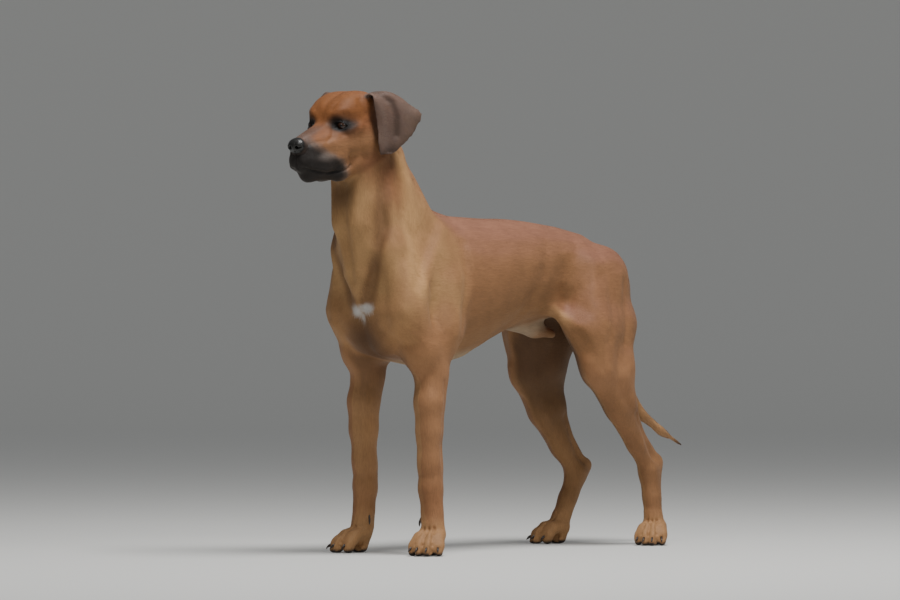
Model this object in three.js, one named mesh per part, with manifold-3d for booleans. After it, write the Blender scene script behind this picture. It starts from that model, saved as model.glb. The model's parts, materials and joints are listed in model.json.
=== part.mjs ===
// A life-size ridgeback hound, standing and alert, with its head high and turned a little to its left.
//
// Millimetres. +X is the dog's left, +Y points to its tail, +Z is up, and the soles lie on Z = 0.
// The flesh is one distance field: muscles, bones and fat pads are round cones and ellipsoids that melt into
// one another. The field is meshed, simplified, and parted with thin cuts into head, neck, trunk, legs and
// tail. Ears, eyes and claws are made on their own.
import * as THREE from "three";
import { mergeVertices } from "three/addons/utils/BufferGeometryUtils.js";
import Module from "manifold-3d";

// ------------------------------------------------------------------ driving dimensions
const GAP = 0.3; // between neighbouring solids
const GRID = 4; // of the field's first mesh
const FLESH_TRIANGLES = 5760; // kept when that mesh is simplified

const WITHERS = 666; // height of the back over the shoulders
const BRISKET = 375; // lowest line of the chest
const CHEST_HALF = 102; // half the width of the ribs
const SHOULDER = [78, -48, 474]; // joint centres of the left side; the right side mirrors X
const ELBOW = [88, 20, 352];
const CARPUS = [91, 12, 128];
const LEFT_FORE = { knuckle: [101, 7, 50], turn: 25 }; // the knuckles above the paw, and how far it turns out
const RIGHT_FORE = { knuckle: [94, 6, 50], turn: 24 };
const HIP = [60, 545, 560];
// shin: 1 where the leg turns out, so that its shin bone shows further forward and outward
const LEFT_HIND = {
  stifle: [99, 488, 364], hock: [85, 662, 152], heel: [83, 692, 172], knuckle: [93, 670, 46], turn: 30,
  shin: 0,
};
const RIGHT_HIND = {
  stifle: [98, 488, 352], hock: [82, 624, 146], heel: [80, 653, 162], knuckle: [88, 580, 45], turn: 24,
  shin: 1,
};
const NECK_BASE = [0, -8, 590];
const EYES_MIDDLE = [9, -196, 838]; // the point halfway between the eyes, where the head's own frame starts
const HEAD_TURN = 9; // degrees to the dog's left
const HEAD_DIP = 14; // degrees that the muzzle points below level
const EYE = (side) => [-9, 34 * side, 0]; // centre of an eyeball in the head's frame: forward, left, up
const EYE_RADIUS = 11;
const EYE_LOOK = 24; // degrees that each eye looks outwards
const EYE_OPENING = [13, 12, 7.5]; // half sizes of the opening between the lids: deep, wide, high
const TAIL = [ // its centre line, from the croup to the tip
  [0, 576, 578], [0, 622, 553], [0, 662, 484], [-3, 672, 402],
  [0, 686, 324], [6, 728, 266], [10, 786, 230], [8, 852, 200],
];

// ------------------------------------------------------------------ small vector helpers
const add = (a, b) => [a[0] + b[0], a[1] + b[1], a[2] + b[2]];
const sub = (a, b) => [a[0] - b[0], a[1] - b[1], a[2] - b[2]];
const scaled = (a, s) => [a[0] * s, a[1] * s, a[2] * s];
const dot = (a, b) => a[0] * b[0] + a[1] * b[1] + a[2] * b[2];
const unit = (a) => scaled(a, 1 / Math.hypot(...a));
const mix = (a, b, t) => add(scaled(a, 1 - t), scaled(b, t));
const crossed = (a, b) => [a[1] * b[2] - a[2] * b[1], a[2] * b[0] - a[0] * b[2], a[0] * b[1] - a[1] * b[0]];
const radians = THREE.MathUtils.degToRad;
const X = [1, 0, 0];
const Y = [0, 1, 0];
const Z = [0, 0, 1];

// ------------------------------------------------------------------ masses of the distance field
// Each mass is { distance(x, y, z), centre, reach, blend }. It melts into what came before it over blend
// millimetres.
const masses = [];

function addMass(distance, centre, reach, blend) {
  masses.push({ distance, centre, reach, blend });
}

// A cone with round ends. flat = [direction, share] squeezes it along a direction to that share of its
// thickness.
function cone(a, b, radiusA, radiusB, blend = 12, { flat } = {}) {
  const ba = sub(b, a);
  const l2 = dot(ba, ba);
  const rr = radiusA - radiusB;
  const a2 = l2 - rr * rr;
  const axis = flat ? unit(flat[0]) : X;
  const squeeze = flat ? 1 / flat[1] - 1 : 0;
  const soften = flat ? (1 + flat[1]) / 2 : 1;
  const distance = (x, y, z) => {
    let px = x - a[0];
    let py = y - a[1];
    let pz = z - a[2];
    if (squeeze) {
      const along = (px * axis[0] + py * axis[1] + pz * axis[2]) * squeeze;
      px += along * axis[0];
      py += along * axis[1];
      pz += along * axis[2];
    }
    const t = px * ba[0] + py * ba[1] + pz * ba[2];
    const qx = px * l2 - ba[0] * t;
    const qy = py * l2 - ba[1] * t;
    const qz = pz * l2 - ba[2] * t;
    const x2 = qx * qx + qy * qy + qz * qz;
    const past = t - l2;
    const limit = Math.sign(rr) * rr * rr * x2;
    let d;
    if (Math.sign(past) * a2 * past * past * l2 > limit) d = Math.sqrt(x2 + past * past * l2) / l2 - radiusB;
    else if (Math.sign(t) * a2 * t * t * l2 < limit) d = Math.sqrt(x2 + t * t * l2) / l2 - radiusA;
    else d = (Math.sqrt((x2 * a2) / l2) + t * rr) / l2 - radiusA;
    return d * soften;
  };
  addMass(distance, mix(a, b, 0.5), Math.sqrt(l2) / 2 + Math.max(radiusA, radiusB), blend);
}

// Round cones through several [point, radius] stations.
function chain(stations, blend = 12, options) {
  for (let i = 1; i < stations.length; i++)
    cone(stations[i - 1][0], stations[i][0], stations[i - 1][1], stations[i][1], blend, options);
}

// An ellipsoid with radii along the three axes of a frame.
function ellipsoid(centre, radii, blend = 12, { frame = [X, Y, Z] } = {}) {
  const distance = (x, y, z) => {
    const p = [x - centre[0], y - centre[1], z - centre[2]];
    let near = 0;
    let steep = 0;
    for (let i = 0; i < 3; i++) {
      const q = dot(p, frame[i]) / radii[i];
      near += q * q;
      steep += (q / radii[i]) ** 2;
    }
    near = Math.sqrt(near);
    steep = Math.sqrt(steep);
    return steep < 1e-9 ? -Math.min(...radii) : (near * (near - 1)) / steep;
  };
  addMass(distance, centre, Math.max(...radii), blend);
}

// A frame whose first axis points along a direction, with the second as near as it can be to a guide.
function framed(direction, guide) {
  const first = unit(direction);
  const second = unit(sub(guide, scaled(first, dot(guide, first))));
  return [first, second, crossed(first, second)];
}

// ------------------------------------------------------------------ trunk
// Stations along Y: [y, top, bottom, half width, how much wider the top half is than the bottom half].
const TRUNK = [
  [-40, WITHERS - 80, BRISKET + 14, 66, 0.05],
  [10, WITHERS - 26, BRISKET + 4, 82, 0.02],
  [70, WITHERS - 3, BRISKET, CHEST_HALF - 8, 0.03],
  [140, WITHERS + 1, BRISKET + 5, CHEST_HALF, 0.05],
  [210, WITHERS - 1, BRISKET + 28, CHEST_HALF + 1, 0.06],
  [280, WITHERS + 1, BRISKET + 57, CHEST_HALF - 3, 0.08],
  [350, WITHERS - 3, BRISKET + 78, CHEST_HALF - 10, 0.1],
  [420, WITHERS - 11, BRISKET + 88, CHEST_HALF - 20, 0.12],
  [480, WITHERS - 22, BRISKET + 94, CHEST_HALF - 25, 0.12],
  [540, WITHERS - 44, BRISKET + 98, CHEST_HALF - 24, 0.1],
];
const TRUNK_FRONT_CAP = 48; // how far the chest bulges in front of the first station
const TRUNK_REAR_CAP = 70;
const TRUNK_SQUARENESS = 2.25; // 2 is an ellipse

function trunkBarrel() {
  const first = TRUNK[0][0];
  const last = TRUNK[TRUNK.length - 1][0];
  const smooth = new THREE.CubicInterpolant(
    TRUNK.map((s) => s[0]), TRUNK.flatMap((s) => s.slice(1)), TRUNK[0].length - 1, new Float64Array(4));
  const sections = [];
  for (let y = first; y <= last; y++) sections.push(Array.from(smooth.evaluate(y)));
  const n = TRUNK_SQUARENESS;
  const distance = (x, y, z) => {
    const inside = Math.min(Math.max(y, first), last);
    const [top, bottom, half, taper] = sections[Math.round(inside - first)];
    const high = (top - bottom) / 2;
    const up = (z - (top + bottom) / 2) / high;
    const wide = half * (1 + taper * Math.max(-1, Math.min(1, up)));
    const beyond = y < first ? (first - y) / TRUNK_FRONT_CAP : y > last ? (y - last) / TRUNK_REAR_CAP : 0;
    const cap = y < first ? TRUNK_FRONT_CAP : TRUNK_REAR_CAP;
    const terms = [[Math.abs(x) / wide, wide], [Math.abs(up), high], [beyond, cap]];
    const value = (terms[0][0] ** n + terms[1][0] ** n + terms[2][0] ** n) ** (1 / n);
    if (value < 1e-6) return -half;
    const slope = Math.hypot(...terms.map(([q, size]) => (q / value) ** (n - 1) / size));
    return (value - 1) / slope;
  };
  addMass(distance, [0, (first + last) / 2, (WITHERS + BRISKET) / 2], (last - first) / 2 + 190, 10);
}

function trunk() {
  trunkBarrel();
  for (const side of [1, -1]) {
    // the long back muscles beside the spine, the croup and the ribs' spring behind the shoulder
    cone([27 * side, 150, 618], [25 * side, 500, 604], 36, 34, 26);
    ellipsoid([48 * side, 546, 542], [44, 56, 50], 34);
    // pectorals, with the groove of the breastbone between them
    ellipsoid([35 * side, -54, 464], [34, 32, 60], 18);
    cone([30 * side, -30, 424], [34 * side, 60, 402], 28, 24, 24);
  }
  ellipsoid([0, -76, 500], [20, 14, 26], 16); // point of the breastbone
  cone([0, 60, 394], [0, 180, 408], 19, 20, 26); // keel
  cone([0, 110, 644], [0, 205, 642], 20, 17, 24); // withers
  chain([[[0, 340, 456], 18], [[0, 408, 442], 16], [[0, 462, 434], 12]], 18); // sheath
  ellipsoid([0, 578, 500], [22, 18, 26], 16); // between the thighs
}

// ------------------------------------------------------------------ neck
function neck() {
  const spine = [
    [NECK_BASE, 88], [[0, -36, 660], 77], [[1, -54, 724], 64], [[4, -74, 786], 57], [[6, -98, 836], 50],
  ];
  chain(spine, 30, { flat: [X, 0.8] });
  chain([[[0, 92, 644], 30], [[0, 18, 710], 28], [[2, -20, 776], 27], [[5, -56, 838], 24]], 34); // nape
  // windpipe and throat
  chain([[[2, -116, 768], 28], [[0, -103, 680], 29], [[0, -80, 560], 24], [[0, -70, 510], 20]], 32);
  for (const side of [1, -1]) {
    // the long muscle from behind the jaw to the point of the shoulder, and the one to the breastbone
    chain([[[42 * side + 5, -78, 790], 21], [[46 * side, -76, 690], 26], [[54 * side, -68, 600], 34],
      [[72 * side, -52, 520], 38]], 24);
    chain([[[30 * side + 3, -119, 750], 15], [[21 * side, -119, 650], 17], [[12 * side, -94, 550], 14],
      [[9 * side, -78, 505], 10]], 20);
    // trapezius, from the nape down to the shoulder blade
    cone([30 * side, -14, 722], [44 * side, 66, 610], 28, 32, 34);
  }
}

// ------------------------------------------------------------------ head
const turn = radians(HEAD_TURN);
const dip = radians(HEAD_DIP);
const FORE = [Math.sin(turn) * Math.cos(dip), -Math.cos(turn) * Math.cos(dip), -Math.sin(dip)];
const LEFT = [Math.cos(turn), Math.sin(turn), 0];
const UP = crossed(FORE, LEFT);
const HEAD = [FORE, LEFT, UP];

// A point of the head, measured forwards, to the left and up from the middle between the eyes.
function inHead(forward, left, up) {
  return add(EYES_MIDDLE, add(scaled(FORE, forward), add(scaled(LEFT, left), scaled(UP, up))));
}

function head() {
  const egg = (f, l, u, radii, blend) => ellipsoid(inHead(f, l, u), radii, blend, { frame: HEAD });
  const rod = (from, to, ra, rb, blend) => cone(inHead(...from), inHead(...to), ra, rb, blend);
  egg(-74, 0, 6, [66, 55, 47], 16); // brain case
  egg(-124, 0, 20, [20, 20, 22], 18); // crest at the back of the skull
  egg(-26, 0, 14, [35, 37, 32], 16); // forehead
  rod([12, 0, -15], [88, 0, -19], 27, 18, 14); // bridge of the nose
  egg(44, 0, -54, [58, 26, 30], 14); // palate, tongue and chin floor
  egg(99, 0, -44, [11, 15, 17], 8); // front of the upper lip
  for (const side of [1, -1]) {
    egg(-62, 25 * side, 20, [58, 33, 34], 14); // flat crown
    rod([-84, 34 * side, 26], [-88, 46 * side, 33], 17, 13, 14); // root of the ear
    egg(-14, 24.5 * side, 21, [19, 15, 12.5], 10); // brow
    egg(-42, 43 * side, -14, [40, 18, 17], 16); // cheekbone
    egg(-64, 40 * side, -42, [38, 21, 38], 16); // cheek muscle
    rod([-34, 34 * side, -44], [22, 24 * side, -38], 23, 22, 18); // below the eye
    rod([8, 22 * side, -26], [82, 13 * side, -30], 20, 15, 12); // side of the muzzle
    rod([10, 26 * side, -60], [58, 20 * side, -62], 17, 18, 14); // lip, fullest behind the nose
    rod([58, 20 * side, -62], [90, 12 * side, -52], 18, 16, 10);
    rod([-54, 36 * side, -74], [8, 24 * side, -90], 17, 14, 16); // lower jaw
    rod([8, 24 * side, -90], [72, 8 * side, -80], 14, 13, 14);
  }
  egg(80, 0, -79, [14, 15, 13], 8); // chin
  egg(-34, 0, -84, [56, 32, 24], 22); // throat between the jaws
  egg(100, 0, -15, [14, 20, 14], 5); // nose
  for (const side of [1, -1]) egg(...EYE(side), [13.5, 14, 13.5], 8); // lids
}

// ------------------------------------------------------------------ paws
// A paw's own frame: origin on the floor below the knuckles, forward turned out, the outer side, and up.
function pawFrame(knuckle, side, degrees) {
  const t = radians(degrees);
  const forward = [Math.sin(t) * side, -Math.cos(t), 0];
  const outward = [Math.cos(t) * side, Math.sin(t), 0];
  const under = [knuckle[0] * side, knuckle[1], 0];
  const at = (f, o, u) => add(under, add(scaled(forward, f), add(scaled(outward, o), [0, 0, u])));
  return { forward, outward, at };
}

// The four toes, from the inner to the outer: how far each reaches out, forwards, and its splay at the root.
const TOES = [
  { tip: [40, -27], root: [4, -15] },
  { tip: [56, -9.5], root: [10, -6] },
  { tip: [56, 9.5], root: [10, 6] },
  { tip: [40, 27], root: [4, 15] },
];
const TOE_RADIUS = 11.5;
const PAD_SINK = 3; // how far the pads would reach below the floor before they are cut flat

function paw(knuckle, side, degrees, breadth) {
  const { forward, outward, at: inPaw } = pawFrame(knuckle, side, degrees);
  const at = (f, o, u) => inPaw(f, o * breadth, u);
  const frame = [forward, outward, Z];
  const high = knuckle[2];
  for (const { tip, root } of TOES) {
    const arch = mix(root, tip, 0.5);
    chain([[at(root[0] - 8, root[1], high - 8), 14], [at(arch[0], arch[1], 33), 12.5],
      [at(tip[0] - 6, tip[1], 20), TOE_RADIUS], [at(tip[0], tip[1], 15), TOE_RADIUS - 2]], 4);
    ellipsoid(at(tip[0] - 2, tip[1], 9 - PAD_SINK), [13, 9, 9], 3, { frame }); // toe pad
  }
  ellipsoid(at(6, 0, 11 - PAD_SINK), [18, 22, 11], 6, { frame }); // main pad
  ellipsoid(at(-2, 0, 27), [15, 21, 18], 10, { frame });
}

// ------------------------------------------------------------------ front legs
function foreleg(side, pose) {
  const s = ([x, y, z]) => [x * side, y, z];
  const shoulder = s(SHOULDER);
  const elbow = s(ELBOW);
  const carpus = s(CARPUS);
  const knuckle = s(pose.knuckle);
  // shoulder blade with the muscles on it, and its ridge
  ellipsoid(s([62, 20, 560]), [108, 54, 24], 30, { frame: framed(s([-0.2, 0.58, 0.79]), [0, 0.8, -0.58]) });
  cone(s([48, 68, 630]), s([80, -20, 515]), 15, 22, 30);
  ellipsoid(shoulder, [36, 42, 44], 24); // point of the shoulder
  chain([[shoulder, 40], [mix(shoulder, elbow, 0.6), 37], [elbow, 30]], 20); // upper arm
  // triceps
  chain([[s([74, 76, 520]), 44], [s([84, 56, 440]), 42], [s([88, 33, 374]), 25]], 26, { flat: [X, 0.8] });
  cone(s([90, 30, 372]), s([90, 42, 364]), 17, 12, 12); // point of the elbow
  // forearm: extensors in front and outside, flexors behind, bone below
  chain([[elbow, 32.5], [s([92, 8, 300]), 30], [s([92, 8, 245]), 25.5], [s([91, 9, 180]), 23],
    [carpus, 22.5]], 14);
  chain([[s([88, 31, 330]), 18], [s([89, 24, 250]), 14], [s([90, 25, 170]), 13], [s([91, 30, 130]), 12]], 16);
  ellipsoid(carpus, [26, 23, 24], 10);
  cone(s([91, 34, 124]), s([92, 42, 112]), 10, 8, 6); // stopper pad behind the carpus
  // pastern, and the dewclaw's toe on its inner side
  chain([[carpus, 22.5], [add(mix(carpus, knuckle, 0.5), [0, 3, 0]), 22.5], [add(knuckle, [0, 3, 0]), 24]], 10);
  const dewToe = add(mix(carpus, knuckle, 0.6), [-20 * side, 2, 0]);
  cone(dewToe, add(mix(carpus, knuckle, 0.78), [-23.5 * side, -4, 0]), 8, 6.5, 5);
  paw(pose.knuckle, side, pose.turn, 1);
}

// ------------------------------------------------------------------ hind legs
function hindleg(side, pose) {
  const s = ([x, y, z]) => [x * side, y, z];
  const hip = s(HIP);
  const stifle = s(pose.stifle);
  const hock = s(pose.hock);
  const heel = s(pose.heel);
  const knuckle = s(pose.knuckle);
  const shank = sub(hock, stifle);
  const offset = (t, x, y, z) => add(add(stifle, scaled(shank, t)), [x * side, y, z]);
  // front of the thigh, the rump, the hamstrings and the inside of the thigh
  chain([[s([64, 490, 560]), 48], [mix(s([74, 470, 520]), stifle, 0.45), 46], [add(stifle, [0, 2, 6]), 33]],
    26);
  ellipsoid(s([59, 546, 534]), [44, 63, 52], 26);
  chain([[s([52, 580, 518]), 37], [s([76, 570, 456]), 44], [offset(0.16, 0, 42, 34), 33],
    [offset(0.3, -2, 30, 4), 26]], 26, { flat: [X, 0.86] });
  chain([[hip, 52], [mix(hip, stifle, 0.6), 46], [stifle, 34]], 26, { flat: [X, 0.85] });
  chain([[s([40, 570, 490]), 34], [offset(0.1, -22, 34, 40), 32]], 24);
  ellipsoid(add(stifle, [2 * side, -20, 4]), [19, 16, 24], 14); // kneecap
  // fold of skin from the flank to the knee
  chain([[s([62, 392, 482]), 11], [s([82, 440, 449]), 12], [add(stifle, [0, -12, 34]), 15]], 30,
    { flat: [X, 0.6] });
  // shank: shin bone in front, calf behind, the strong tendon to the heel
  const { shin } = pose;
  chain([[offset(0.04, 0, 2, -4), 32], [offset(0.4, 4 * shin, -2 - 7 * shin, 2), 25 + 3 * shin],
    [offset(0.75, 4 * shin, -6 * shin, 2), 18.5 + 2.5 * shin], [hock, 17.5 + 1.5 * shin]], 14);
  chain([[offset(0.1, -2, 34, 6), 30], [offset(0.38, -2, 24, 12), 23], [offset(0.66, -1, 20, 14), 12.5]], 16);
  cone(offset(0.6, -1, 20, 16), heel, 11, 9.5, 8, { flat: [X, 0.75] });
  chain([[offset(0.5, 0, 12, 8), 15], [offset(0.78, 0, 12, 8), 12], [mix(hock, heel, 0.4), 12]], 8,
    { flat: [X, 0.5] });
  cone(hock, heel, 15, 11.5, 8);
  ellipsoid(hock, [21, 20, 24], 10);
  chain([[hock, 20], [mix(hock, knuckle, 0.5), 19.5], [knuckle, 21]], 12);
  cone(heel, add(mix(hock, knuckle, 0.5), [0, 9, 0]), 11.5, 13, 10);
  paw(pose.knuckle, side, pose.turn, 0.9);
}

// ------------------------------------------------------------------ tail
function tail() {
  const radii = [34, 25, 17.5, 15, 13.5, 12, 9.5, 4.5];
  chain(TAIL.map((point, i) => [point, radii[i]]), 12);
}

// ------------------------------------------------------------------ the field as a whole
function fieldOver(list, x, y, z) {
  let d = 1e3;
  for (const m of list) {
    const own = m.distance(x, y, z);
    const h = Math.max(m.blend - Math.abs(d - own), 0) / m.blend;
    d = Math.min(d, own) - h * h * m.blend * 0.25;
  }
  return d;
}

// Surface nets: one vertex in each grid cell that the surface crosses, then moved onto the surface.
function meshField(low, high, step) {
  const size = [0, 1, 2].map((i) => Math.ceil((high[i] - low[i]) / step) + 1);
  const [nx, ny, nz] = size;
  const values = new Float32Array(nx * ny * nz).fill(1e3);
  const at = (i, j, k) => i + nx * (j + ny * k);
  const block = 8;
  const half = (block * step) / 2;
  const lists = new Map();
  for (let k = 0; k < nz; k += block)
    for (let j = 0; j < ny; j += block)
      for (let i = 0; i < nx; i += block) {
        const centre = [low[0] + i * step + half, low[1] + j * step + half, low[2] + k * step + half];
        const reach = half * 1.75;
        const list = masses.filter((m) =>
          Math.hypot(...sub(m.centre, centre)) < m.reach * 1.25 + reach + 40);
        if (!list.length) continue;
        const middle = fieldOver(list, ...centre);
        const deep = Math.abs(middle) > reach * 1.6 + 12;
        for (let c = k; c < Math.min(k + block, nz); c++)
          for (let b = j; b < Math.min(j + block, ny); b++)
            for (let a = i; a < Math.min(i + block, nx); a++)
              values[at(a, b, c)] = deep ? middle
                : fieldOver(list, low[0] + a * step, low[1] + b * step, low[2] + c * step);
        if (!deep) lists.set(`${i / block},${j / block},${k / block}`, list);
      }
  fillPinches(values, size);
  const vertices = [];
  const owner = new Map();
  const corners = [0, 1, 2, 3, 4, 5, 6, 7].map((n) => [n & 1, (n >> 1) & 1, n >> 2]);
  for (let k = 0; k < nz - 1; k++)
    for (let j = 0; j < ny - 1; j++)
      for (let i = 0; i < nx - 1; i++) {
        const v = corners.map(([a, b, c]) => values[at(i + a, j + b, k + c)]);
        const inside = v.filter((d) => d < 0).length;
        if (inside === 0 || inside === 8) continue;
        const sum = [0, 0, 0];
        let count = 0;
        for (let a = 0; a < 8; a++)
          for (const bit of [1, 2, 4]) {
            const b = a | bit;
            if (b === a || v[a] < 0 === v[b] < 0) continue;
            const t = v[a] / (v[a] - v[b]);
            for (let n = 0; n < 3; n++) sum[n] += corners[a][n] + t * (corners[b][n] - corners[a][n]);
            count++;
          }
        owner.set(at(i, j, k), vertices.length);
        const key = [i, j, k].map((n) => Math.floor(n / block)).join();
        const list = lists.get(key) || masses;
        vertices.push(ontoSurface(list, [low[0] + (i + sum[0] / count) * step,
          low[1] + (j + sum[1] / count) * step, low[2] + (k + sum[2] / count) * step], step));
      }
  const triangles = [];
  const quad = (a, b, c, d, flip) => {
    const q = [a, b, c, d].map((n) => owner.get(n));
    if (flip) q.reverse();
    triangles.push([q[0], q[1], q[2]], [q[0], q[2], q[3]]);
  };
  for (let k = 1; k < nz - 1; k++)
    for (let j = 1; j < ny - 1; j++)
      for (let i = 1; i < nx - 1; i++) {
        const here = values[at(i, j, k)] < 0;
        if (here !== values[at(i + 1, j, k)] < 0)
          quad(at(i, j - 1, k - 1), at(i, j, k - 1), at(i, j, k), at(i, j - 1, k), !here);
        if (here !== values[at(i, j + 1, k)] < 0)
          quad(at(i - 1, j, k - 1), at(i - 1, j, k), at(i, j, k), at(i, j, k - 1), !here);
        if (here !== values[at(i, j, k + 1)] < 0)
          quad(at(i - 1, j - 1, k), at(i, j - 1, k), at(i, j, k), at(i - 1, j, k), !here);
      }
  return { vertices, triangles };
}

// Where the flesh would touch itself only at a corner or along an edge of the grid, one more grid point
// becomes flesh, so that the mesh never pinches.
function fillPinches(values, [nx, ny, nz]) {
  const steps = [1, nx, nx * ny];
  const fill = (...outside) => {
    const [n] = outside.sort((a, b) => values[a] - values[b]);
    values[n] = -1e-3;
  };
  for (let changed = true; changed;) {
    changed = false;
    for (let k = 0; k < nz - 1; k++)
      for (let j = 0; j < ny - 1; j++)
        for (let i = 0; i < nx - 1; i++) {
          const n = i + nx * (j + ny * k);
          for (const [a, b] of [[0, 1], [1, 2], [2, 0]]) {
            const [p, q, r, s] = [n, n + steps[a], n + steps[b], n + steps[a] + steps[b]];
            const here = values[p] < 0;
            if (here !== values[s] < 0 || here === values[q] < 0 || here === values[r] < 0) continue;
            if (here) fill(q, r);
            else fill(p, s);
            changed = true;
          }
          for (let c = 0; c < 4; c++) {
            const far = (m) => n + (m & 1) * steps[0] + ((m >> 1) & 1) * steps[1] + (m >> 2) * steps[2];
            const pair = values[far(c)] < 0;
            if (pair !== values[far(7 - c)] < 0) continue;
            const others = [0, 1, 2, 3, 4, 5, 6, 7].filter((m) => m !== c && m !== 7 - c).map(far);
            if (others.some((m) => values[m] < 0 === pair)) continue;
            if (pair) fill(...others);
            else fill(far(c), far(7 - c));
            changed = true;
          }
        }
  }
}

// Two Newton steps along the field's slope, each kept within half a cell.
function ontoSurface(list, p, step) {
  const e = 0.25;
  let q = p;
  for (let n = 0; n < 2; n++) {
    const d = fieldOver(list, ...q);
    const slope = [X, Y, Z].map((axis) =>
      (fieldOver(list, ...add(q, scaled(axis, e))) - fieldOver(list, ...sub(q, scaled(axis, e)))) / (2 * e));
    const steep = dot(slope, slope) || 1;
    const move = Math.max(-step / 2, Math.min(step / 2, d / Math.sqrt(steep))) / Math.sqrt(steep);
    q = sub(q, scaled(slope, move));
  }
  return q;
}

// ------------------------------------------------------------------ seams between the named parts
// Each seam is the loop where a plane meets the flesh: a point, a direction square to the plane, a guide for
// its first axis, and how long and wide the stretch of plane is that cuts.
const seams = [];

function seam(centre, direction, guide, length, width) {
  const [normal, first, second] = framed(direction, guide);
  seams.push({ centre, normal, first, second, length, width, above: (p) => dot(sub(p, centre), normal) });
}

// Splits the triangles that cross a seam's plane, so that the loop runs along edges. onSeam holds the seam of
// each vertex, or 0.
function splitAlong({ vertices, triangles, onSeam }, { centre, first, second, length, width, above }, index) {
  const height = vertices.map((v) => above(v) || 1e-6);
  const made = new Map();
  const crossing = (a, b) => {
    const key = a < b ? `${a},${b}` : `${b},${a}`;
    if (!made.has(key)) {
      const p = mix(vertices[a], vertices[b], height[a] / (height[a] - height[b]));
      const from = sub(p, centre);
      const within = Math.abs(dot(from, first)) < length / 2 && Math.abs(dot(from, second)) < width / 2;
      made.set(key, within ? vertices.push(p) - 1 : -1);
      if (within) onSeam.push(index);
    }
    return made.get(key);
  };
  const after = [];
  for (const t of triangles) {
    const up = t.map((v) => height[v] > 0);
    const lone = [0, 1, 2].find((i) => up[i] !== up[(i + 1) % 3] && up[i] !== up[(i + 2) % 3]);
    if (lone === undefined) {
      after.push(t);
      continue;
    }
    const [a, b, c] = [t[lone], t[(lone + 1) % 3], t[(lone + 2) % 3]];
    const p = crossing(a, b);
    const q = crossing(a, c);
    if (p < 0 !== q < 0) throw new Error(`seam ${index} ends inside the flesh`);
    if (p < 0) after.push(t);
    else after.push([a, p, q], [p, b, c], [p, c, q]);
  }
  return { vertices, triangles: after, onSeam };
}

// The part that each triangle belongs to: parts are what is joined without crossing a seam.
function partsOf({ triangles, onSeam }) {
  const owners = new Map();
  triangles.forEach((t, n) => t.forEach((v, i) => {
    const w = t[(i + 1) % 3];
    if (onSeam[v] && onSeam[v] === onSeam[w]) return;
    const key = v < w ? `${v},${w}` : `${w},${v}`;
    if (owners.has(key)) owners.get(key).push(n);
    else owners.set(key, [n]);
  }));
  const part = triangles.map((_, n) => n);
  const root = (n) => {
    while (part[n] !== n) n = part[n] = part[part[n]];
    return n;
  };
  for (const [a, b] of owners.values()) part[root(a)] = root(b);
  return triangles.map((_, n) => root(n));
}

// One part as a closed solid: its seam loops drawn back by half the gap and closed with flat caps.
function closedPart(vertices, faces, onSeam) {
  const lean = new Map();
  for (const f of faces)
    for (const v of f)
      if (onSeam[v])
        for (const w of f)
          if (onSeam[w] !== onSeam[v]) {
            const height = seams[onSeam[v] - 1].above(vertices[w]);
            lean.set(onSeam[v], (lean.get(onSeam[v]) || 0) + height);
          }
  const used = new Map();
  const own = [];
  const move = (v) => {
    if (!used.has(v)) {
      let place = vertices[v];
      if (onSeam[v]) {
        const back = (Math.sign(lean.get(onSeam[v])) * GAP) / 2;
        place = add(place, scaled(seams[onSeam[v] - 1].normal, back));
      }
      used.set(v, own.push(place) - 1);
    }
    return used.get(v);
  };
  const triangles = faces.map((f) => f.map(move));
  const next = new Map();
  const edges = new Set(faces.flatMap((f) => f.map((v, i) => `${v},${f[(i + 1) % 3]}`)));
  for (const edge of edges) {
    const [v, w] = edge.split(",").map(Number);
    if (!edges.has(`${w},${v}`)) next.set(v, w);
  }
  while (next.size) {
    const loop = [];
    for (let v = next.keys().next().value; next.has(v);) {
      loop.push(v);
      const w = next.get(v);
      next.delete(v);
      v = w;
    }
    const { first, second, normal } = seams[onSeam[loop[0]] - 1];
    const flat = loop.map((v) => new THREE.Vector2(dot(vertices[v], first), dot(vertices[v], second)));
    const outwards = -Math.sign(lean.get(onSeam[loop[0]]));
    for (const t of THREE.ShapeUtils.triangulateShape(flat, [])) {
      const [a, b, c] = t.map((i) => vertices[loop[i]]);
      const faced = Math.sign(dot(crossed(sub(b, a), sub(c, a)), normal)) * outwards;
      triangles.push((faced < 0 ? t.reverse() : t).map((i) => move(loop[i])));
    }
  }
  return solid(geometryOf({ vertices: own, triangles }));
}

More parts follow.
